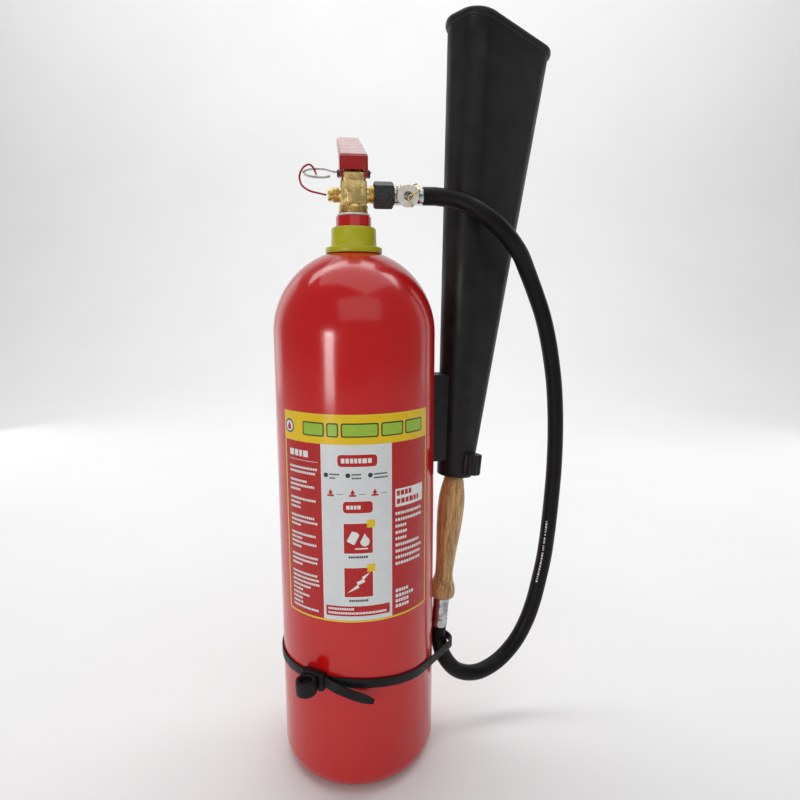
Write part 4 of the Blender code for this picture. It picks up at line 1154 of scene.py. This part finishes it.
def make_grip():
    bore = GRIP_BORE
    route = [(0.0112, 0.0002), (0.0124, 0.0010), (0.0132, 0.0034), (0.0135, 0.0066), (0.0133, 0.0100),
             (0.0124, 0.0142), (0.0110, 0.0180), (0.0099, 0.0215), (0.0094, 0.0255), (0.0094, 0.0300),
             (0.0098, 0.0380), (0.0106, 0.0500), (0.0117, 0.0620), (0.0128, 0.0750), (0.0136, 0.0880),
             (0.0138, 0.0980), (0.0136, 0.1060), (0.0131, 0.1120)]
    curve = [(p.x, p.y) for p in smooth([Vector(point) for point in route], 0.0022)]
    cut = [(0.0128, 0.1133), (0.0123, 0.1139), (0.0126, 0.1145)]
    top = [(p.x, p.y) for p in smooth([Vector(point) for point in (
        (0.0126, 0.1150), (0.0118, 0.1200), (0.0106, 0.1260), (0.0094, 0.1306), (0.0088, 0.1318))], 0.002)]
    profile = [(bore, 0.0), (0.0100, 0.0)] + curve + cut + top
    profile += [(0.0080, GRIP_LENGTH), (bore, GRIP_LENGTH)]
    publish("turned_grip", lathe(profile, 72), "turned_wood", stands_for=["wooden_grip"],
            where=HORN)
    outer = 0.0088
    ferrule = [(bore, -0.0320), (outer - 0.0006, -0.0320), (outer, -0.0314), (outer, -0.0232)]
    for groove in (-0.0225, -0.0115):
        ferrule += [(outer - 0.0003, groove + 0.0002), (outer - 0.0005, groove + 0.0012),
                    (outer - 0.0003, groove + 0.0022), (outer, groove + 0.0029)]
    ferrule += [(outer, -0.0010), (outer - 0.0005, -0.0004), (bore, -0.0003)]
    publish("grip_ferrule", lathe(ferrule, 56), "bright_plate", stands_for=["lower_ferrule"],
            where=HORN)


def section(height, half_long, half_short, corner, per_corner=18):
    """A rounded rectangle at a height; a circle when the three sizes are equal."""
    points = []
    for quarter, (sx, sy) in enumerate(((1, 1), (-1, 1), (-1, -1), (1, -1))):
        for i in range(per_corner):
            angle = (quarter + (i + 0.5) / per_corner) * pi / 2
            points.append((sx * (half_long - corner) + corner * cos(angle),
                           sy * (half_short - corner) + corner * sin(angle), height))
    return points


def horn_section(height, grow=0.0):
    share = (height - THROAT) / (MOUTH - THROAT)
    return section(height, 0.018 + 0.040 * share + grow, 0.018 + 0.008 * share + grow,
                   0.018 + 0.002 * share + grow)


def make_horn():
    wall, lip, bore = sizes().horn_wall, sizes().lip, GRIP_BORE
    floor = THROAT + 0.004
    heights = [THROAT + 0.0014] + [0.150 + 0.0275 * i for i in range(15)] + [0.5605]
    rings = [section(THROAT, bore, bore, bore), section(THROAT, 0.012, 0.012, 0.012),
             horn_section(THROAT, -0.0014), horn_section(THROAT + 0.0004, -0.0004)]
    rings += [horn_section(height) for height in heights]
    for i in range(9):
        turn = -pi / 2 + pi * i / 8
        rings.append(horn_section(0.5652 + 0.0038 * sin(turn), lip * (0.15 + 0.85 * cos(turn))))
    rings.append(horn_section(MOUTH, -wall * 0.4))
    rings.append(horn_section(MOUTH - 0.0006, -wall * 0.8))
    rings += [horn_section(height, -wall) for height in reversed([floor + 0.002] + heights[1:] + [0.566])]
    rings += [horn_section(floor, -wall), section(floor, bore, bore, bore)]
    publish("discharge_horn", loft(rings, True), "horn_plastic", stands_for=["horn"],
            where=HORN)


def make_horn_lug():
    """The fluted boss on the front of the throat, with softened ends."""
    centre = (0.003, -0.0190)
    lobes, per_lobe = 10, 8
    rings = []
    for height, inset in ((0.1370, 0.0012), (0.1374, 0.0004), (0.1382, 0.0), (0.1568, 0.0), (0.1576, 0.0004),
                          (0.1580, 0.0012)):
        ring = []
        for i in range(lobes * per_lobe):
            angle = 2 * pi * i / (lobes * per_lobe)
            reach = 0.0100 + 0.0005 * cos(lobes * angle) - inset
            ring.append((centre[0] + reach * cos(angle), centre[1] + reach * sin(angle), height))
        rings.append(ring)
    publish("throat_lug", loft(rings, False), "horn_plastic", stands_for=["horn_lug"],
            where=HORN)


def make_holder():
    """The saddle that keeps the horn off the cylinder."""
    toward, inner, outer, half = radians(18.7), BODY_R + 0.0004, 0.100, 0.013
    side = Vector((-sin(toward), cos(toward)))
    out = Vector((cos(toward), sin(toward)))
    spread = half / inner
    outline = arc((0, 0), inner, toward - spread, toward + spread, 12)
    outline += [tuple(out * outer + side * half), tuple(out * outer - side * half)]
    shape = soften(prism(outline, 0.300, 0.388, "Z"), 0.0012, 3, radians(40))
    cutter = loft([horn_section(height, 0.0003) for height in (0.126, 0.36, 0.58)], False)
    bmesh.ops.transform(cutter, matrix=HORN, verts=cutter.verts)
    publish("horn_saddle", carve(shape, cutter), "holder_plastic", stands_for=["horn_holder"],
            sharp=30)


# ---- Cable tie -------------------------------------------------------------------------------

TIE_HOSE = Vector((0.0856, 0.0198))
TIE_HOSE_R = 0.0125


def tie_level(x):
    return 0.117 - 0.06 * x - 1.2 * x * x


def strap_band(path, thick, height, closed):
    """Sweep a strip with rounded edges along (point, outward direction) pairs."""
    rings = []
    corner = thick * 0.35
    shape = rounded([(-thick / 2, -height / 2), (thick / 2, -height / 2), (thick / 2, height / 2),
                     (-thick / 2, height / 2)], corner, 2)
    for point, outward in path:
        rings.append([point + outward * a + Vector((0, 0, b)) for a, b in shape])
    return loft(rings, closed)


def tie_path():
    """A belt round the cylinder and the hose: two arcs joined by their outer tangents."""
    around = BODY_R + 0.0004 + sizes().tie_thickness / 2
    toward = atan2(TIE_HOSE.y, TIE_HOSE.x)
    spread = acos((around - TIE_HOSE_R) / TIE_HOSE.length)
    path = []
    for i in range(121):
        angle = toward + spread + (2 * pi - 2 * spread) * i / 120
        out = Vector((cos(angle), sin(angle), 0))
        path.append((out * around, out))
    for i in range(25):
        angle = toward - spread + 2 * spread * i / 24
        out = Vector((cos(angle), sin(angle), 0))
        path.append((TIE_HOSE.to_3d() + out * TIE_HOSE_R, out))
    return [(point + Vector((0, 0, tie_level(point.x))), out) for point, out in path]


def make_cable_tie():
    thick, height = sizes().tie_thickness, sizes().tie_height
    loop = strap_band(tie_path(), thick, height, True)
    toward = radians(-117)
    out = Vector((cos(toward), sin(toward), 0))
    right = Vector((-out.y, out.x, 0))
    seat = out * (BODY_R + 0.0007)
    turn = Matrix((right, out, Vector((0, 0, 1)))).transposed().to_4x4()
    head = soften(prism([(-0.0120, 0.0), (0.0120, 0.0), (0.0120, 0.0060), (0.0090, 0.0075), (-0.0090, 0.0075),
                         (-0.0120, 0.0060)], -0.0080, 0.0080, "Z"), 0.0010, 3)
    ridge = soften(prism([(-0.0110, 0.0070), (-0.0060, 0.0070), (-0.0060, 0.0085), (-0.0110, 0.0085)], -0.006,
                         0.006, "Z"), 0.0005, 2)
    tube = rounded([(0.0055, -0.0065), (0.0095, -0.0065), (0.0095, 0.0065), (0.0055, 0.0065)], 0.0010, 3)
    lobe = lathe(tube, 48, "Z", (0, 0.0152, 0))
    where = Matrix.Translation(seat + Vector((0, 0, tie_level(seat.x)))) @ turn
    for shape in (head, ridge, lobe):
        bmesh.ops.transform(shape, matrix=where, verts=shape.verts)
    route = [Vector(point) for point in (
        (-0.0260, -0.0762, 0.1185), (-0.0150, -0.0815, 0.1150), (-0.0020, -0.0838, 0.1105),
        (0.0110, -0.0846, 0.1065), (0.0196, -0.0850, 0.1041))]
    points = smooth(route, 0.0015)
    rings = []
    for i, point in enumerate(points):
        forward = (points[min(i + 1, len(points) - 1)] - points[max(i - 1, 0)]).normalized()
        up = forward.cross(Vector((0, -1, 0))).normalized()
        if up.z < 0:
            up = -up
        away = up.cross(forward).normalized()
        left = len(points) - 1 - i
        tall = height * (0.5 + 0.5 * min(1.0, left / 6)) / 2
        tooth = thick * (0.42 + 0.08 * (i % 2))
        rings.append([point - up * tall - away * tooth, point - up * tall + away * thick / 2,
                      point + up * tall + away * thick / 2, point + up * tall - away * tooth])
    tail = soften(loft(rings, False), 0.0003, 2, radians(60))
    publish("nylon_tie", join([loop, head, ridge, lobe, tail]), "tie_nylon",
            stands_for=["cable_tie"])


# ---- Inner pieces ----------------------------------------------------------------------------

INNER_FINISHES = {
    "dip_tube": "dip_plastic", "gland_seal": "seal_rubber", "spindle_spring": "spring_wire",
    "burst_disc": "rolled_copper", "outlet_gasket": "white_seal", "hose_stem": "drawn_steel",
    "handle_tube": "drawn_steel", "discharge_nozzle": "turned_brass",
}


def dress_inner_pieces():
    for node, finish in INNER_FINISHES.items():
        dress(node, finish)


# ---- Stage -----------------------------------------------------------------------------------

def area_light(name, place, target, size, power, tone=(1, 1, 1)):
    data = bpy.data.lights.new(name, "AREA")
    data.shape = "RECTANGLE"
    data.size, data.size_y = size
    data.energy = power
    data.color = tone
    lamp = bpy.data.objects.new(name, data)
    bpy.context.scene.collection.objects.link(lamp)
    lamp.location = place
    lamp.rotation_euler = (Vector(target) - Vector(place)).to_track_quat("-Z", "Y").to_euler()


def make_camera():
    data = bpy.data.cameras.new("studio_camera")
    data.lens = 26.377
    data.sensor_width = 36.0
    data.clip_start = 0.01
    camera = bpy.data.objects.new("studio_camera", data)
    bpy.context.scene.collection.objects.link(camera)
    camera.location = (0.0429, -0.5618, 0.4571)
    camera.rotation_euler = (radians(80.727), 0, 0)
    bpy.context.scene.camera = camera


def make_floor():
    """A pale sheet that lies flat and curves up far behind."""
    bm = bmesh.new()
    sink = 0.0002
    profile = [(-3.0, 0.0), (1.6, 0.0)] + arc((1.6, 1.2), 1.2, -pi / 2, 0, 12) + [(2.8, 4.0)]
    rows = [[bm.verts.new((x, y, z - sink)) for y, z in profile] for x in (-4.0, 4.0)]
    for i in range(len(profile) - 1):
        bm.faces.new((rows[0][i], rows[1][i], rows[1][i + 1], rows[0][i + 1]))
    mesh = bpy.data.meshes.new("studio_floor")
    bm.to_mesh(mesh)
    bm.free()
    mesh.shade_smooth()
    floor = bpy.data.objects.new("studio_floor", mesh)
    bpy.context.scene.collection.objects.link(floor)
    mesh.materials.append(finish_named("studio_paper"))


def make_lights():
    world = bpy.data.worlds.new("studio_world")
    world.use_nodes = True
    background = world.node_tree.nodes["Background"]
    background.inputs["Color"].default_value = (0.97, 0.98, 1.0, 1)
    background.inputs["Strength"].default_value = 0.24
    bpy.context.scene.world = world
    bpy.context.scene.view_settings.view_transform = "Standard"
    area_light("window", (-0.86, -1.45, 0.26), (0, 0, 0.30), (0.38, 0.30), 3.0)
    area_light("window_top", (-0.84, -1.44, 0.46), (0, 0, 0.36), (0.34, 0.12), 3.0)
    area_light("top_panel", (0.1, 0.1, 2.4), (0.05, 0, 0.4), (2.6, 2.2), 20.0)
    area_light("front_fill", (0.6, -2.6, 2.3), (0.05, 0, 0.35), (3.4, 1.8), 15.0)
    area_light("left_rim", (-1.5, 1.2, 0.8), (0, 0, 0.35), (0.8, 1.5), 3.0)
    area_light("right_rim", (1.7, 1.0, 0.8), (0.05, 0, 0.35), (0.8, 1.5), 3.0)
    area_light("backdrop_light", (0, 0.9, 3.2), (0, 2.9, 0.7), (5.0, 1.2), 72.0)


# ---- Operators -------------------------------------------------------------------------------

class PieceOperator(bpy.types.Operator):
    """Shared base of the operators that build pieces."""
    bl_options = {"REGISTER", "UNDO"}
    steps = ()

    def execute(self, context):
        for step in self.steps:
            step()
        return {"FINISHED"}


class EXTINGUISHER_OT_finishes(PieceOperator):
    """Make the shared shader groups and every finish"""
    bl_idname = "extinguisher.finishes"
    bl_label = "Finishes"
    steps = (build_groups, make_enamels, make_metals, make_plastics, make_inks, make_wood, make_stage_finish)


class EXTINGUISHER_OT_stage(PieceOperator):
    """Set up the pale floor, the soft lights and the camera"""
    bl_idname = "extinguisher.stage"
    bl_label = "Stage"
    steps = (make_camera, make_floor, make_lights)


class EXTINGUISHER_OT_hose(PieceOperator):
    """Lay the rubber hose along its route"""
    bl_idname = "extinguisher.hose"
    bl_label = "Hose"
    steps = (make_hose,)


class EXTINGUISHER_OT_cylinder(PieceOperator):
    """Turn the painted cylinder, the collar and the sealing ring"""
    bl_idname = "extinguisher.cylinder"
    bl_label = "Cylinder and neck"
    steps = (make_cylinder, make_neck_ring)


class EXTINGUISHER_OT_label(PieceOperator):
    """Wrap the label's printed layers round the cylinder"""
    bl_idname = "extinguisher.label"
    bl_label = "Label"
    steps = (make_label_ground, make_label_print)


class EXTINGUISHER_OT_valve(PieceOperator):
    """Build the brass valve and its fittings"""
    bl_idname = "extinguisher.valve"
    bl_label = "Valve"
    steps = (make_valve_casting, make_valve_fittings)


class EXTINGUISHER_OT_lever(PieceOperator):
    """Press the lever and the carry handle, and fit their pins and seal strap"""
    bl_idname = "extinguisher.lever"
    bl_label = "Lever, handle and pins"
    steps = (make_lever, make_carry_handle, make_pins)


class EXTINGUISHER_OT_outlet(PieceOperator):
    """Fit the union nut, the upper ferrule and the wire seal"""
    bl_idname = "extinguisher.outlet"
    bl_label = "Outlet fittings"
    steps = (make_union_nut, make_upper_ferrule, make_seal)


class EXTINGUISHER_OT_horn(PieceOperator):
    """Mould the horn with its lug and holder, and turn the grip"""
    bl_idname = "extinguisher.horn"
    bl_label = "Horn and grip"
    steps = (make_grip, make_horn, make_horn_lug, make_holder)


class EXTINGUISHER_OT_tie(PieceOperator):
    """Fasten the nylon tie round the cylinder and the hose"""
    bl_idname = "extinguisher.tie"
    bl_label = "Cable tie"
    steps = (make_cable_tie,)


class EXTINGUISHER_OT_inner(PieceOperator):
    """Give the inner pieces of the frame their finishes"""
    bl_idname = "extinguisher.inner"
    bl_label = "Inner pieces"
    steps = (dress_inner_pieces,)


BUILD_ORDER = (
    EXTINGUISHER_OT_finishes, EXTINGUISHER_OT_stage, EXTINGUISHER_OT_hose, EXTINGUISHER_OT_cylinder,
    EXTINGUISHER_OT_label, EXTINGUISHER_OT_valve, EXTINGUISHER_OT_lever, EXTINGUISHER_OT_outlet,
    EXTINGUISHER_OT_horn, EXTINGUISHER_OT_tie, EXTINGUISHER_OT_inner,
)


class EXTINGUISHER_PT_panel(bpy.types.Panel):
    """Sidebar panel that lists the settings and the build steps"""
    bl_idname = "EXTINGUISHER_PT_panel"
    bl_label = "Extinguisher"
    bl_space_type = "VIEW_3D"
    bl_region_type = "UI"
    bl_category = "Extinguisher"

    def draw(self, context):
        layout = self.layout
        for group in (context.scene.extinguisher_sizes, context.scene.extinguisher_colours):
            box = layout.box()
            for name in group.__annotations__:
                box.prop(group, name)
        for operator in BUILD_ORDER:
            layout.operator(operator.bl_idname)


CLASSES = (ExtinguisherSizes, ExtinguisherColours) + BUILD_ORDER + (EXTINGUISHER_PT_panel,)


def register():
    for cls in CLASSES:
        bpy.utils.register_class(cls)
    bpy.types.Scene.extinguisher_sizes = bpy.props.PointerProperty(type=ExtinguisherSizes)
    bpy.types.Scene.extinguisher_colours = bpy.props.PointerProperty(type=ExtinguisherColours)


def unregister():
    del bpy.types.Scene.extinguisher_colours
    del bpy.types.Scene.extinguisher_sizes
    for cls in reversed(CLASSES):
        bpy.utils.unregister_class(cls)


def main():
    register()
    bpy.ops.extinguisher.finishes()
    bpy.ops.extinguisher.stage()
    bpy.ops.extinguisher.hose()
    bpy.ops.extinguisher.cylinder()
    bpy.ops.extinguisher.label()
    bpy.ops.extinguisher.valve()
    bpy.ops.extinguisher.lever()
    bpy.ops.extinguisher.outlet()
    bpy.ops.extinguisher.horn()
    bpy.ops.extinguisher.tie()
    bpy.ops.extinguisher.inner()


if __name__ == "__main__":
    main()
